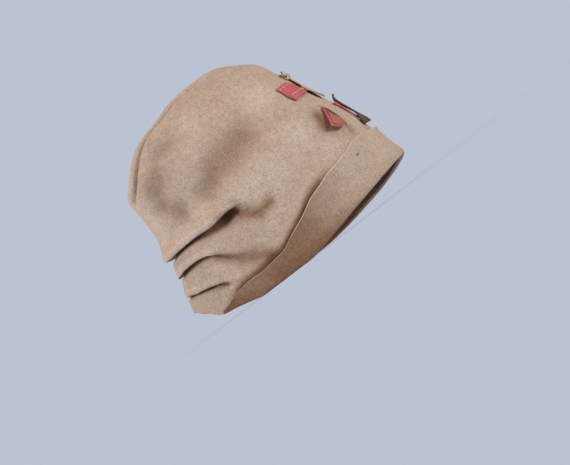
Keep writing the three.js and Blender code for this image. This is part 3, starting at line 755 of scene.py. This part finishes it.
@dataclass
class Crown:
    """The felt body: outer face with its tucks, smooth lining face and the cut edge between them.

    A fold row gives how far it lies under the lip and its share of the fold's depth. A lip row gives
    how far it lies over the lip where the felt is plain and where it is folded, its shares of the
    lip's stand and of the fold's depth, and its painted shade: 1 is deep inside, below 0 is a painted
    highlight on the lit lip.
    """

    felt: FeltSurface
    front_columns: int = 118
    nape_columns: int = 52
    brim_end: float = 129.6
    bare_from: float = 130.1
    fold_gap: float = 0.1
    # Painted shade over the lining, a painted highlight on the cut edge, painted shade in the tuck folds and
    # a painted highlight on the lit lip noses.
    lining_shade: float = 0.72
    edge_highlight: float = -0.2
    fold_shade: float = 0.57
    lip_highlight: float = -0.18
    fold_band: Band = (0.2, 4.5)
    deep_band: Band = (0.05, 0.8)
    open_band: Band = (0.6, 5.0)
    nape_band: Band = (98, 114)
    open_before_nape: float = 0.25
    plain_span: float = 3.5
    least_rise: float = 0.6
    bare_band: Band = (-6, 8)
    ripple_under_brim: float = 0.25
    brim_shadow: float = 0.75
    shadow_band: Band = (-1, 8.5)
    shadow_start: Band = (50, 72)
    shadow_stop: Band = (112, 127)
    lining_band: Band = (5, 18)
    lining_room: float = 1.05
    lining_ripple: float = 0.5
    edge_rows: Table = ((0.12, 0.22), (0.35, 0.34), (0.65, 0.34), (0.88, 0.2))
    fill_rows: tuple[int, ...] = (6, 4, 4)
    upper_rows: int = 128
    lining_rows: int = 34
    fold_rows: Table = (
        (1.8, 0.0), (1.5, -0.05), (1.25, -0.16), (1.05, -0.34), (0.9, -0.54), (0.72, -0.74),
        (0.54, -0.89), (0.36, -0.97), (0.16, -1.0),
    )
    lip_rows: Table = (
        (0.4, 0.5, 0.0, -0.97, 0.97), (0.6, 1.0, 0.02, -0.8, 0.8), (0.8, 1.25, 0.05, -0.56, 0.56),
        (1.0, 1.15, 0.1, -0.32, 0.32), (1.2, 0.75, 0.18, -0.14, 0.14), (1.4, 0.2, 0.29, -0.04, 0.04),
        (1.65, -0.35, 0.42, 0.0, 0.4), (1.9, -0.68, 0.56, 0.0, 0.4), (2.2, -0.7, 0.7, 0.0, -1),
        (2.5, -0.4, 0.82, 0.0, -1), (2.9, 0.25, 0.92, 0.0, -1), (3.3, 1.1, 0.99, 0.0, -1),
        (3.8, 2.1, 1.02, 0.0, -1), (4.5, 3.3, 1.0, 0.0, -1), (5.3, 4.7, 0.92, 0.0, -1),
        (6.4, 6.3, 0.79, 0.0, 0), (8.0, 8.2, 0.6, 0.0, 0), (10.0, 10.4, 0.42, 0.0, 0),
    )

    def columns(self) -> np.ndarray:
        """Give the angles of the columns from the back round to the back again."""
        front = np.linspace(0, self.brim_end, self.front_columns)
        nape = np.linspace(self.bare_from, 180, self.nape_columns)
        half = np.concatenate([front, nape])
        return np.concatenate([-half[::-1], half[1:]])

    def edge_height(self, azimuth: np.ndarray) -> np.ndarray:
        """Give the lower edge: above the fold of the brim, and at the rim round the nape."""
        under = np.abs(azimuth) <= self.brim_end + 0.01
        return self.felt.rim_height(azimuth) + np.where(under, self.felt.felt + self.fold_gap, 0)

    def outer_rows(self, azimuth: np.ndarray) -> tuple[np.ndarray, np.ndarray, np.ndarray]:
        """Lay out the rows of the outer face, which follow the lips of the tucks.

        Args:
            azimuth: The angles of the columns.

        Returns:
            Heights along the wall in millimetres, how far the tucks push out and the painted shade in
            the folds and painted highlight on the lips, rows first.
        """
        heights, pushes, hidden = [], [], []
        nape = smooth_step(np.abs(azimuth), *self.nape_band)
        opened = self.open_before_nape + (1 - self.open_before_nape) * nape
        plain_felt = np.zeros(len(azimuth))
        reach = self.fold_rows[0][0]

        def lay(height: np.ndarray, push: np.ndarray, inside: np.ndarray) -> None:
            """Add a row."""
            heights.append(height)
            pushes.append(push)
            hidden.append(inside)

        last = self.edge_height(azimuth)
        for number, tuck in enumerate(self.felt.tucks):
            lip, out, gap, deep = (tuck.read(azimuth, column) for column in Lip)
            folded = smooth_step(out + deep, *self.open_band) * opened
            span = reach * (gap * folded + self.plain_span * (1 - folded))
            span = np.minimum(span, lip - last - self.least_rise)
            for share in np.linspace(0, 1, self.fill_rows[number] + 1)[min(number, 1) : -1]:
                height = last + (lip - span - last) * share
                lay(height, self.felt.tuck_push(azimuth, height), plain_felt)
            for below, deep_share in self.fold_rows:
                height = lip - span * below / reach
                push = self.felt.tuck_push(azimuth, height, number) + deep * deep_share
                lay(height, push, self.in_fold(deep, -deep_share))
            for plain, fold, out_share, deep_share, shade in self.lip_rows:
                height = lip + plain * (1 - folded) + fold * folded
                push = self.felt.tuck_push(azimuth, height, number) + out * out_share + deep * deep_share
                lay(height, push, self.in_fold(deep, shade))
            last = heights[-1]
        for share in np.linspace(0, 1, self.upper_rows + 1)[1:]:
            height = last + (self.felt.wall_run - last) * share
            lay(height, self.felt.tuck_push(azimuth, height), plain_felt)
        return np.array(heights), np.array(pushes), np.array(hidden)

    def in_fold(self, deep: np.ndarray, shade: float) -> np.ndarray:
        """Give the painted shade of a row, or the painted highlight of a lit lip, by its shade and the depth
        of its fold.
        """
        full = self.fold_shade * smooth_step(shade, *self.deep_band) + self.lip_highlight * (shade < 0)
        return smooth_step(deep, *self.fold_band) * full

    def outer_face(self, azimuth: np.ndarray) -> tuple[np.ndarray, np.ndarray]:
        """Give the points of the outer face and its tone of painted shade and light, rows first."""
        heights, push, hidden = self.outer_rows(azimuth)
        turn = np.broadcast_to(azimuth, heights.shape)
        way = np.minimum(heights / self.felt.wall_run, 1)
        plain = self.felt.plain(turn, way)
        above = heights - Brim.edge_height(azimuth)
        bare = smooth_step(above, *self.bare_band)
        soft = self.felt.soft_push(plain)
        push = push + np.where(soft > 0, soft * bare, soft)
        calm = self.ripple_under_brim + (1 - self.ripple_under_brim) * bare
        push = push + self.felt.ripple(plain) * calm
        push[-1] = push[-1].mean()
        # Painted shadow of the brim's edge on the crown round the sides.
        side = smooth_step(np.abs(turn), *self.shadow_start)
        side = side * (1 - smooth_step(np.abs(turn), *self.shadow_stop))
        shadow = self.brim_shadow * side * (1 - smooth_step(above, *self.shadow_band))
        tone = np.clip(self.felt.tone(plain) + hidden + shadow, -1, 1)
        return plain + self.felt.outward(turn, way) * push[..., None], tone

    def lining_face(self, azimuth: np.ndarray) -> np.ndarray:
        """Give the points of the lining face, which runs smoothly behind the tucks."""
        edge = self.edge_height(azimuth)
        turn = np.broadcast_to(azimuth, (self.lining_rows, len(azimuth)))
        share = np.linspace(0, 1, self.lining_rows)[:, None]
        height = edge + (self.felt.wall_run - edge) * share
        way = np.minimum(height / self.felt.wall_run, 1)
        behind = np.zeros(height.shape)
        for tuck in self.felt.tucks:
            middle = tuck.read(turn, Lip.HEIGHT) - tuck.read(turn, Lip.GAP) / 2
            near = 1 - smooth_step(np.abs(height - middle), *self.lining_band)
            behind = np.maximum(behind, near * self.lining_room * tuck.read(turn, Lip.DEEP))
        plain = self.felt.plain(turn, way)
        push = np.minimum(self.felt.soft_push(plain), 0) - behind - self.felt.felt
        push = push + self.felt.ripple(plain) * self.lining_ripple
        push[-1] = push[-1].mean()
        return plain + self.felt.outward(turn, way) * push[..., None]

    def cut_edge(self, inner: np.ndarray, outer: np.ndarray) -> np.ndarray:
        """Round the cut edge between the first rows of the two faces."""
        rows = []
        for share, drop in self.edge_rows:
            row = inner + (outer - inner) * share
            row[:, 2] -= drop
            rows.append(row)
        return np.array(rows)

    def build(self) -> bpy.types.Object:
        """Build and dress the crown.

        Returns:
            The crown, in place of its plain solid.
        """
        azimuth = self.columns()
        outer, tone = self.outer_face(azimuth)
        lining = self.lining_face(azimuth)
        edge = self.cut_edge(lining[0], outer[0])
        # The lining gets an even painted shade and the cut edge a painted highlight.
        within = np.full(lining.shape[:2], self.lining_shade)
        points = np.concatenate([lining[::-1], edge, outer])
        tones = np.concatenate([within, np.full(edge.shape[:2], self.edge_highlight), tone])
        piece = Workshop.wrapped_grid("felt_crown", points, tones)
        Workshop.dress(piece, "body_felt", Finish.BODY.made())
        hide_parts("crown")
        return piece


@dataclass
class Brim:
    """The same felt folded up round the face, running out to a point on either side of the nape.

    By the angle from the front, TONE gives the painted shade of the face, darker round the sides and
    nape, EDGE the height of the cut edge and STAND how far the face stands out at its edge, at its
    middle and at its foot. A wave gives its size, its pace round the hat and its phase.
    """

    felt: FeltSurface
    columns: int = 440
    face_rows: int = 34
    end: float = 130.0
    fold_height: float = 5.0
    fold_inside: float = 1.9
    # Painted shade towards the fold and a painted highlight on the cut edge.
    fold_shade: float = 0.12
    edge_highlight: float = -0.38
    nick: Stroke = Stroke("nick", (Run(41.2, 0.1885, 0.9, 0, 0.75), Run(39.9, 0.19)))
    waves: Table = ((0.35, 0.21, 0.6), (0.22, 0.53, 2.0))
    lean_size: float = 0.2
    lean_pace: float = 0.33
    lean_share: float = 0.8
    calm_band: Band = (112, 126)
    thin_band: Band = (120, 130)
    thinned: float = 0.5
    least_rise: float = 0.6
    inner_drop: float = 0.02
    edge_round: float = 0.3
    edge_bow: float = 0.04
    edge_inset: float = 0.25
    back_gap: float = 0.15
    back_rows: int = 8
    fold_step: int = 12
    fold_power_out: float = 0.7
    fold_power_up: float = 0.75
    uneven_share: float = 0.6
    uneven_band: Band = (1, 12)
    fold_tone_band: Band = (1, 14)

    # Painted shade of the face by angle from the front, with a touch of painted light at the front.
    TONE: ClassVar[Table] = (
        (0, -0.03), (45, 0.0), (60, 0.12), (72, 0.3), (82, 0.45), (92, 0.46), (102, 0.38), (112, 0.38),
        (122, 0.44), (130, 0.44),
    )
    EDGE: ClassVar[Table] = (
        (0, 58.8), (12, 59), (26, 60.4), (35, 60), (49, 53.7), (61, 48.8), (71, 42.5), (79.5, 32.8),
        (86, 25.5), (91, 20), (100, 18), (109, 17.5), (116, 16), (122, 13.2), (126.5, 11.3),
        (130, 10.6),
    )
    STAND: ClassVar[Table] = (
        (0, 3.7, 2.5, 3.2), (60, 4.2, 2.9, 3.0), (75, 4.9, 3.2, 2.8), (90, 5.0, 3.2, 2.6),
        (108, 4.4, 3.0, 2.6), (120, 3.4, 2.7, 2.6), (130, 2.4, 2.3, 2.3),
    )

    @classmethod
    def edge_height(cls, azimuth: np.ndarray) -> np.ndarray:
        """Give the height of the cut edge by the angle from the front."""
        return by_rows(cls.EDGE, np.abs(azimuth))

    def section(self, azimuth: np.ndarray) -> tuple[np.ndarray, np.ndarray, np.ndarray]:
        """Lay out the folded section at each angle.

        Args:
            azimuth: The angles of the columns.

        Returns:
            How far out and how high each point lies, points first, from inside the fold round to
            it, and how much painted highlight its cut edge gets.
        """
        turn = np.abs(azimuth)
        rim = self.felt.rim_height(azimuth)
        wave = sum(size * np.sin(azimuth * pace + phase) for size, pace, phase in self.waves)
        calm = 1 - smooth_step(turn, *self.calm_band)
        edge = np.maximum(self.edge_height(azimuth) + wave * calm, rim + self.least_rise)
        stand_edge, stand_mid, stand_low = (by_rows(self.STAND, turn, column) for column in (1, 2, 3))
        lean = wave * self.lean_share + self.lean_size * np.sin(azimuth * self.lean_pace)
        stand_edge = stand_edge + lean * calm
        felt = self.felt.felt * (1 - self.thinned * smooth_step(turn, *self.thin_band))
        fold, fold_in = (np.minimum(most, (edge - rim) / 2) for most in (self.fold_height, self.fold_inside))
        inner_top = np.minimum(rim + self.felt.felt - self.inner_drop, edge - self.edge_inset)
        outs, ups, pale = [], [], []

        def corner(out: np.ndarray, up: np.ndarray, highlight: float = 0.0) -> None:
            """Add a point to the section, with the painted highlight of the cut edge there."""
            outs.append(out)
            ups.append(up)
            pale.append(highlight)

        def stand(share: float) -> np.ndarray:
            """Say how far out the face stands at a share of its height."""
            sag = (stand_mid - (stand_low + stand_edge) / 2) * 4 * share * (1 - share)
            return stand_low * (1 - share) + stand_edge * share + sag

        inside = -self.felt.felt * np.ones_like(turn)
        corner(inside, inner_top)
        half = (stand_low - inside) / 2
        middle = inside + half
        for angle in np.radians(np.arange(180, 361, self.fold_step)):
            c, s = math.cos(angle), math.sin(angle)
            rise = fold if c > 0 else fold_in
            out = middle + half * np.sign(c) * abs(c) ** self.fold_power_out
            corner(out, rim + rise * (1 - abs(s) ** self.fold_power_up))
        low = rim + fold
        for share in np.linspace(0, 1, self.face_rows)[1:]:
            last = share == 1
            corner(stand(share), low + (edge - low) * share - self.edge_round * last, 0.9 * last)
        corner(stand_edge - self.edge_inset, edge - self.edge_bow, 1)
        corner(stand_edge - felt * 0.5, edge + self.edge_bow, 1)
        corner(stand_edge - felt + self.edge_inset, edge - self.edge_bow, 0.7)
        bottom = np.minimum(inner_top, edge - self.edge_round)
        for share in np.linspace(1, 0, self.back_rows):
            height = bottom + (edge - self.edge_round - bottom) * share
            corner(np.maximum(stand(share) - felt, self.back_gap), height)
        corner(inside, inner_top)
        return np.array(outs), np.array(ups), np.array(pale)

    def build(self) -> bpy.types.Object:
        """Build and dress the brim.

        Returns:
            The brim, in place of its plain solid.
        """
        azimuth = np.linspace(-self.end, self.end, self.columns)
        out, up, pale = self.section(azimuth)
        turn = np.broadcast_to(azimuth, up.shape)
        way = up / self.felt.wall_run
        plain = self.felt.plain(turn, way)
        rim = self.felt.rim_height(turn)
        uneven = self.felt.ripple(plain) * smooth_step(up - rim, *self.uneven_band)
        points = plain + self.felt.outward(turn, way) * (out + uneven * self.uneven_share)[..., None]
        for end in (0, -1):
            points[:, end] = points[:, end].mean(axis=0)
        in_fold = 1 - smooth_step(up - rim, *self.fold_tone_band)
        nicked = self.felt.gathered((self.nick,), "tone", plain) * (turn < 0) * (out > self.felt.felt)
        # Painted shade, darker round the sides and nape and towards the fold; the nick is a real mark.
        tone = by_rows(self.TONE, np.abs(turn)) + self.fold_shade * in_fold + nicked
        # The cut edge gets a painted highlight.
        tone = np.where(pale[:, None] > 0, self.edge_highlight * pale[:, None], tone)
        piece = Workshop.wrapped_grid("folded_brim", points, tone)
        Workshop.dress(piece, "body_felt", Finish.BODY.made())
        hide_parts("turned_up_brim")
        return piece


@dataclass(frozen=True)
class Corner:
    """A corner of a tab: angle towards the wearer's right, way up the crown, lift off the felt."""

    turn: float
    way: float
    lift: float


@dataclass
class FeltTab:
    """A four-cornered piece of felt that lies on the crown.

    The cup bends the sides up towards the second pair of corners, the arch lifts the middle of the
    first side, the base is the gap to the crown and the inset draws the piece in all round. Faces
    turned away from outward by more than the tab's shade limit have the finish that is named under,
    which paints the shade on the underside and edges.
    """

    felt: FeltSurface
    name: str
    node: str
    slot: str
    finish: Finish
    corners: tuple[Corner, Corner, Corner, Corner]
    thickness: float = 1.6
    cup: float = 0.0
    arch: float = 0.0
    base: float = 0.3
    inset: float = 0.0
    rows: int = 22
    columns: int = 22
    edge: float = 0.35
    wander: float = 0.012
    under: Finish | None = None
    shaded_to: float = -0.5

    def place(self, along: np.ndarray, across: np.ndarray, extra: float = 0.0) -> np.ndarray:
        """Give points over the tab.

        Args:
            along: Share from the first pair of corners to the second pair.
            across: Share from the first corner to the second.
            extra: Distance to add to the lift.

        Returns:
            The points, in millimetres.
        """

        def blend(values: list[float]) -> np.ndarray:
            """Blend a value of the four corners."""
            a, b, c, d = values
            return (a * (1 - across) + b * across) * (1 - along) + (d * (1 - across) + c * across) * along

        turn = blend([corner.turn for corner in self.corners])
        way = blend([corner.way for corner in self.corners])
        lift = blend([corner.lift for corner in self.corners]) + self.cup * (along * (2 * across - 1)) ** 2
        lift = lift + self.arch * 4 * along * (1 - along) * (1 - across)
        return self.felt.skin(-turn, way, self.base + lift + extra)

    def build(self) -> bpy.types.Object:
        """Build and dress the tab.

        Returns:
            The tab, in place of its plain solid where it has one.
        """
        along, across = np.meshgrid(
            np.linspace(1 - self.inset, self.inset, self.rows),
            np.linspace(self.inset, 1 - self.inset, self.columns),
            indexing="ij",
        )
        wander = self.wander * np.sin(across * 11 + 0.7) * (along > 0.999)
        wander = wander + self.wander * np.sin(along * 9 + 2) * (across < 0.001)
        points = self.place(along + wander, across - wander)
        piece = Workshop.sheet(self.name, points, self.thickness, self.edge)
        made = [self.finish.made()]
        if self.under:
            made.append(self.under.made())
        Workshop.dress(piece, self.slot, *made)
        if self.under:
            self.shade_underside(piece)
        if self.node:
            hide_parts(self.node)
        return piece

    def shade_underside(self, piece: bpy.types.Object) -> None:
        """Give the faces that look back at the crown the second finish, a painted shade."""
        out = Vector(self.felt.outward(-self.corners[0].turn, self.corners[0].way))
        for face in piece.data.polygons:
            if face.normal.dot(out) < self.shaded_to:
                face.material_index = 1


@dataclass(frozen=True)
class StripRow:
    """One row across the curled strip.

    It gives the way up the crown, the lift off the felt, the angles of its near and far edges and
    the droop, which is how much lower its near edge hangs.
    """

    way: float
    lift: float
    near: float
    far: float
    droop: float = 0.0


@dataclass
class CurledStrip:
    """The brown strip at the front: one end curls up off the crown, the other lifts a little."""

    felt: FeltSurface
    thickness: float = 1.4
    base: float = 0.3
    edge: float = 0.3
    sag: float = 1.5
    steps: int = 48
    across: int = 14
    rows: tuple[StripRow, ...] = (
        StripRow(0.414, 6.4, 2.5, -7.5),
        StripRow(0.408, 4.2, 2.5, -7.5),
        StripRow(0.398, 2.8, 2.5, -7.5),
        StripRow(0.38, 2.3, 2.5, -7.5),
        StripRow(0.347, 2.7, 2.5, -7.5),
        StripRow(0.315, 3.4, 3.0, -7.5, 0.8),
        StripRow(0.296, 3.9, 4.0, -7.3, 2.4),
        StripRow(0.281, 4.4, 5.2, -7.0, 3.6),
        StripRow(0.264, 4.2, 6.0, -6.4, 3.6),
    )

    def build(self) -> bpy.types.Object:
        """Build and dress the strip.

        Returns:
            The strip, in place of its plain solid.
        """
        place = np.linspace(0, len(self.rows) - 1, self.steps)

        def column(name: str) -> np.ndarray:
            """Read one column of the rows smoothly along the strip."""
            values = tuple((float(i), getattr(row, name)) for i, row in enumerate(self.rows))
            return by_rows(values, place)[:, None]

        way, lift, near, far, droop = (column(name) for name in ("way", "lift", "near", "far", "droop"))
        share = np.linspace(0, 1, self.across)[None, :]
        turn = near * (1 - share) + far * share
        off = self.base + lift - droop * (1 - share) ** self.sag
        points = self.felt.skin(-turn, np.broadcast_to(way, turn.shape), off)
        piece = Workshop.sheet("curled_strip", points[::-1], self.thickness, self.edge)
        Workshop.dress(piece, "brown_felt", Finish.BROWN.made())
        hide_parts("brown_strip_front")
        return piece


@dataclass
class Stitches:
    """A row of short gold stitches across a tab."""

    tab: FeltTab
    name: str
    count: int
    along: tuple[float, float]
    across: tuple[float, float]
    length: float = 2.8
    thread: float = 0.7
    slant: float = 25
    narrowed: float = 0.45
    dip: float = 0.55
    raised: float = 0.1
    step: float = 0.02

    def pattern(self) -> bpy.types.Object:
        """Model one stitch: a short thread that dips into the felt at both ends."""
        Workshop.deselect()
        bpy.ops.mesh.primitive_cylinder_add(vertices=8, radius=self.thread * MM, depth=self.length * MM)
        stitch = bpy.context.object
        bpy.ops.object.mode_set(mode="EDIT")
        bpy.ops.mesh.select_all(action="SELECT")
        bpy.ops.mesh.subdivide(number_cuts=5)
        bpy.ops.object.mode_set(mode="OBJECT")
        half = self.length * MM / 2
        for vertex in stitch.data.vertices:
            share = vertex.co.z / half
            narrow = 1 - self.narrowed * share**4
            vertex.co.x *= narrow
            vertex.co.y = vertex.co.y * narrow - self.dip * MM * share**2
        return stitch

    def build(self) -> bpy.types.Object:
        """Build and dress the row.

        Returns:
            One piece that holds all its stitches.
        """
        stitch = self.pattern()
        mesh = stitch.data
        made = []
        for share in np.linspace(0, 1, self.count):
            along = self.along[0] + (self.along[1] - self.along[0]) * share
            across = self.across[0] + (self.across[1] - self.across[0]) * share
            a, b, c = (
                self.tab.place(np.array(u), np.array(v), self.tab.thickness + self.raised)
                for u, v in ((along, across), (along, across + self.step), (along - self.step, across))
            )
            right, up = Vector(b - a).normalized(), Vector(c - a).normalized()
            normal = right.cross(up).normalized()
            run = right.copy()
            run.rotate(Matrix.Rotation(math.radians(self.slant * (-1) ** len(made)), 3, normal))
            side = normal.cross(run).normalized()
            copy = mesh.copy()
            copy.transform(Matrix((side, normal, run)).transposed().to_4x4())
            copy.transform(Matrix.Translation(Vector(a) * MM))
            piece = bpy.data.objects.new(self.name, copy)
            bpy.context.collection.objects.link(piece)
            made.append(piece)
        bpy.data.objects.remove(stitch)
        Workshop.deselect()
        for piece in made:
            piece.select_set(True)
        bpy.context.view_layer.objects.active = made[0]
        bpy.ops.object.join()
        piece = bpy.context.object
        piece.name = piece.data.name = self.name
        bpy.ops.object.shade_smooth()
        Workshop.dress(piece, "gold_thread", Finish.GOLD.made())
        return piece


@dataclass
class GoldKnot:
    """Two loops of gold thread at the head of the beige tab."""

    felt: FeltSurface
    turn: float = 9
    way: float = 0.59
    lift: float = 2.5
    thread: float = 0.78
    winds: int = 2
    lobes: int = 3
    radius: float = 3.2
    steps: int = 120
    sides: int = 10
    plies: int = 3
    twists: int = 14
    ply_height: float = 0.16

    def path(self) -> np.ndarray:
        """Give the middle line of the thread, in millimetres, lying on its own plane."""
        t = np.linspace(0, 2 * math.pi * self.winds, self.steps + 1)
        spin = t * self.lobes / self.winds
        reach = self.radius * (2 + np.cos(spin)) * 0.5
        return np.stack([reach * np.cos(t), reach * np.sin(t), self.radius * np.sin(spin) * 0.5], -1)

    def build(self) -> bpy.types.Object:
        """Build and dress the knot.

        Returns:
            The knot, in place of its plain solid.
        """
        line = self.path()
        ahead = np.roll(line[:-1], -1, axis=0) - np.roll(line[:-1], 1, axis=0)
        ahead = np.vstack([ahead, ahead[:1]])
        ahead /= np.linalg.norm(ahead, axis=-1, keepdims=True)
        side = np.cross(ahead, line - np.array([0, 0, 20.0]))
        side /= np.linalg.norm(side, axis=-1, keepdims=True)
        up = np.cross(side, ahead)
        rounds = np.linspace(0, 2 * math.pi, self.sides + 1)
        twist = np.linspace(0, 2 * math.pi * self.twists, self.steps + 1)[:, None]
        thick = self.thread * (1 + self.ply_height * np.cos(self.plies * (rounds[None, :] + twist)))
        tube = (
            line[:, None]
            + side[:, None] * (thick * np.cos(rounds))[..., None]
            + up[:, None] * (thick * np.sin(rounds))[..., None]
        )
        out = Vector(self.felt.outward(-self.turn, self.way))
        spun = np.array(Vector((0, 0, 1)).rotation_difference(out).to_matrix())
        centre = self.felt.skin(-self.turn, self.way, self.lift)
        piece = Workshop.wrapped_grid("gold_loops", tube @ spun.T + centre)
        Workshop.dress(piece, "gold_thread", Finish.GOLD.made())
        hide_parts("gold_knot")
        return piece


@dataclass(frozen=True)
class Lamp:
    """One far light: the way towards it, its strength, its breadth in degrees and its tint."""

    name: str
    towards: tuple[float, float, float]
    strength: float
    breadth: float
    tint: Colour


@dataclass
class Studio:
    """Pale floor, soft lights and the camera of the picture.

    The camera's lengths are in millimetres and its angles in degrees. A pixel is its size at the hat.
    """

    backdrop: Colour = (0.497, 0.546, 0.651)
    surround: Colour = (0.4, 0.385, 0.38)
    glow: float = 0.77
    lamps: tuple[Lamp, ...] = (
        Lamp("key", (0.85, -0.5, 0.1), 2.18, 18, (1.0, 0.97, 0.91)),
        Lamp("fill", (-0.78, -0.56, 0.3), 1.75, 40, (1.0, 0.95, 0.95)),
        Lamp("rim", (-0.85, 0.5, 0.3), 0.9, 40, (1.0, 0.98, 0.98)),
        Lamp("top", (0.35, -0.2, 0.9), 0.7, 60, (1.0, 0.98, 0.96)),
    )
    aim: tuple[float, float, float] = (-10.4, 0, 33.2)
    distance: float = 1500
    swing: float = 6.0
    rise: float = -0.9
    roll: float = 37.5
    pixel: float = 0.9
    frame_width: int = 570
    sensor: float = 36
    floor_size: float = 30
    lamp_distance: float = 2

    def camera(self) -> None:
        """Stand the camera where the picture was taken from, tilted as the hat was worn."""
        swing, rise, roll = (math.radians(value) for value in (self.swing, self.rise, self.roll))
        back = Vector((math.sin(swing) * math.cos(rise), -math.cos(swing) * math.cos(rise), math.sin(rise)))
        level = Vector((math.cos(swing), math.sin(swing), 0))
        upright = back.cross(level)
        right = level * math.cos(roll) - upright * math.sin(roll)
        up = level * math.sin(roll) + upright * math.cos(roll)
        data = bpy.data.cameras.new("picture_camera")
        data.sensor_width = self.sensor
        data.lens = self.distance / self.pixel / self.frame_width * data.sensor_width
        data.clip_start, data.clip_end = 0.01, 50
        camera = bpy.data.objects.new("picture_camera", data)
        bpy.context.collection.objects.link(camera)
        turned = Matrix((right, up, back)).transposed().to_4x4()
        camera.matrix_world = Matrix.Translation((Vector(self.aim) + back * self.distance) * MM) @ turned
        bpy.context.scene.camera = camera

    def light(self, lamp: Lamp) -> None:
        """Hang one broad, far light."""
        data = bpy.data.lights.new(lamp.name, "SUN")
        data.energy, data.color = lamp.strength, lamp.tint
        data.angle = math.radians(lamp.breadth)
        made = bpy.data.objects.new(lamp.name, data)
        bpy.context.collection.objects.link(made)
        made.location = Vector(lamp.towards) * self.lamp_distance
        made.rotation_mode = "QUATERNION"
        made.rotation_quaternion = Vector(lamp.towards).to_track_quat("Z", "Y")

    def sky(self) -> None:
        """Surround the hat with an even light, seen as the pale backdrop."""
        world = bpy.data.worlds.new("studio")
        world.use_nodes = True
        tree = world.node_tree
        seen = tree.nodes["Background"]
        seen.inputs["Color"].default_value = (*self.backdrop, 1)
        felt = tree.nodes.new("ShaderNodeBackground")
        felt.inputs["Color"].default_value = (*self.surround, 1)
        blend = tree.nodes.new("ShaderNodeMixShader")
        path = tree.nodes.new("ShaderNodeLightPath")
        tree.links.new(path.outputs["Is Camera Ray"], blend.inputs["Fac"])
        tree.links.new(felt.outputs["Background"], blend.inputs[1])
        tree.links.new(seen.outputs["Background"], blend.inputs[2])
        tree.links.new(blend.outputs["Shader"], tree.nodes["World Output"].inputs["Surface"])
        bpy.context.scene.world = world

    def ground(self) -> None:
        """Lay the floor, toned so that it is as pale as the backdrop under these lights."""
        Workshop.deselect()
        bpy.ops.mesh.primitive_plane_add(size=self.floor_size, location=(0, 0, 0))
        floor = bpy.context.object
        floor.name = "studio_floor"
        lit = list(self.surround)
        for lamp in self.lamps:
            rise = Vector(lamp.towards).normalized().z
            for axis in range(3):
                lit[axis] += lamp.strength * lamp.tint[axis] * rise / math.pi
        tone = [seen * (1 - self.glow) / light for seen, light in zip(self.backdrop, lit)]
        nodes = Nodes("studio_floor")
        dull = {"Roughness": 1.0, "Specular IOR Level": 0.0, "Emission Strength": self.glow}
        nodes.settle(nodes.shader, dull)
        nodes.settle(nodes.shader, {"Base Color": (*tone, 1), "Emission Color": (*self.backdrop, 1)})
        floor.data.materials.append(nodes.material)

    def build(self) -> None:
        """Set up the whole studio."""
        bpy.context.scene.view_settings.view_transform = "Standard"
        self.sky()
        self.ground()
        for lamp in self.lamps:
            self.light(lamp)
        self.camera()


def felt_tabs(felt: FeltSurface) -> list[FeltTab]:
    """List the felt tabs of the front, from the top down."""
    rose_lower = (
        Corner(25.8, 0.398, 0),
        Corner(23.8, 0.304, 0),
        Corner(34, 0.298, 5),
        Corner(39.5, 0.322, 6.4),
    )
    return [
        FeltTab(
            felt,
            "rose_tab_top",
            "rose_tab_upper",
            "rose_felt",
            Finish.ROSE,
            (
                Corner(34, 0.551, 0),
                Corner(18.8, 0.56, 0.2),
                Corner(12.3, 0.478, 0.4),
                Corner(33.3, 0.465, 0.9),
            ),
        ),
        FeltTab(
            felt,
            "beige_tab_top",
            "beige_tab_upper",
            "beige_felt",
            Finish.BEIGE,
            (Corner(8.8, 0.57, 0.2), Corner(-5, 0.57, 0), Corner(-4, 0.43, 0.5), Corner(9.8, 0.43, 1.9)),
            cup=0.9,
            # The dark finish paints the shade under and along the lifted tab.
            under=Finish.SHADE,
            shaded_to=0.1,
        ),
        FeltTab(felt, "rose_tab_cup", "rose_tab_lower", "rose_felt", Finish.ROSE, rose_lower, cup=1.6),
        FeltTab(
            felt,
            "brown_tab_lining",
            "brown_tab_lower",
            "brown_felt",
            Finish.TAN,
            rose_lower,
            thickness=1.0,
            cup=1.6,
            base=2.2,
            inset=0.12,
        ),
        FeltTab(
            felt,
            "slit_flap",
            "",
            "body_felt",
            Finish.BODY,
            (
                Corner(23.2, 0.408, -1),
                Corner(15.5, 0.408, -1.6),
                Corner(16, 0.29, -1.6),
                Corner(25, 0.29, -0.6),
            ),
            thickness=1.3,
            arch=2.8,
            base=0.1,
        ),
        FeltTab(
            felt,
            "rose_strip",
            "rose_strip_front",
            "rose_felt",
            Finish.ROSE,
            (Corner(10, 0.39, 0.2), Corner(-6, 0.39, 0.1), Corner(-7, 0.296, 0.1), Corner(2, 0.296, 0.2)),
            thickness=1.4,
            cup=0.2,
        ),
    ]


def main() -> None:
    """Build the hat and its studio, piece by piece."""
    logging.basicConfig(level=logging.INFO, format="%(message)s")
    felt = FeltSurface()
    Studio().build()
    Crown(felt).build()
    Brim(felt).build()
    tabs = felt_tabs(felt)
    for tab in tabs:
        tab.build()
    CurledStrip(felt).build()
    GoldKnot(felt).build()
    Stitches(tabs[0], "gold_stitches_head", 5, (0.17, 0.17), (0.12, 0.95)).build()
    Stitches(tabs[0], "gold_stitches_foot", 7, (0.72, 0.8), (0.16, 0.97)).build()


if __name__ == "__main__":
    main()
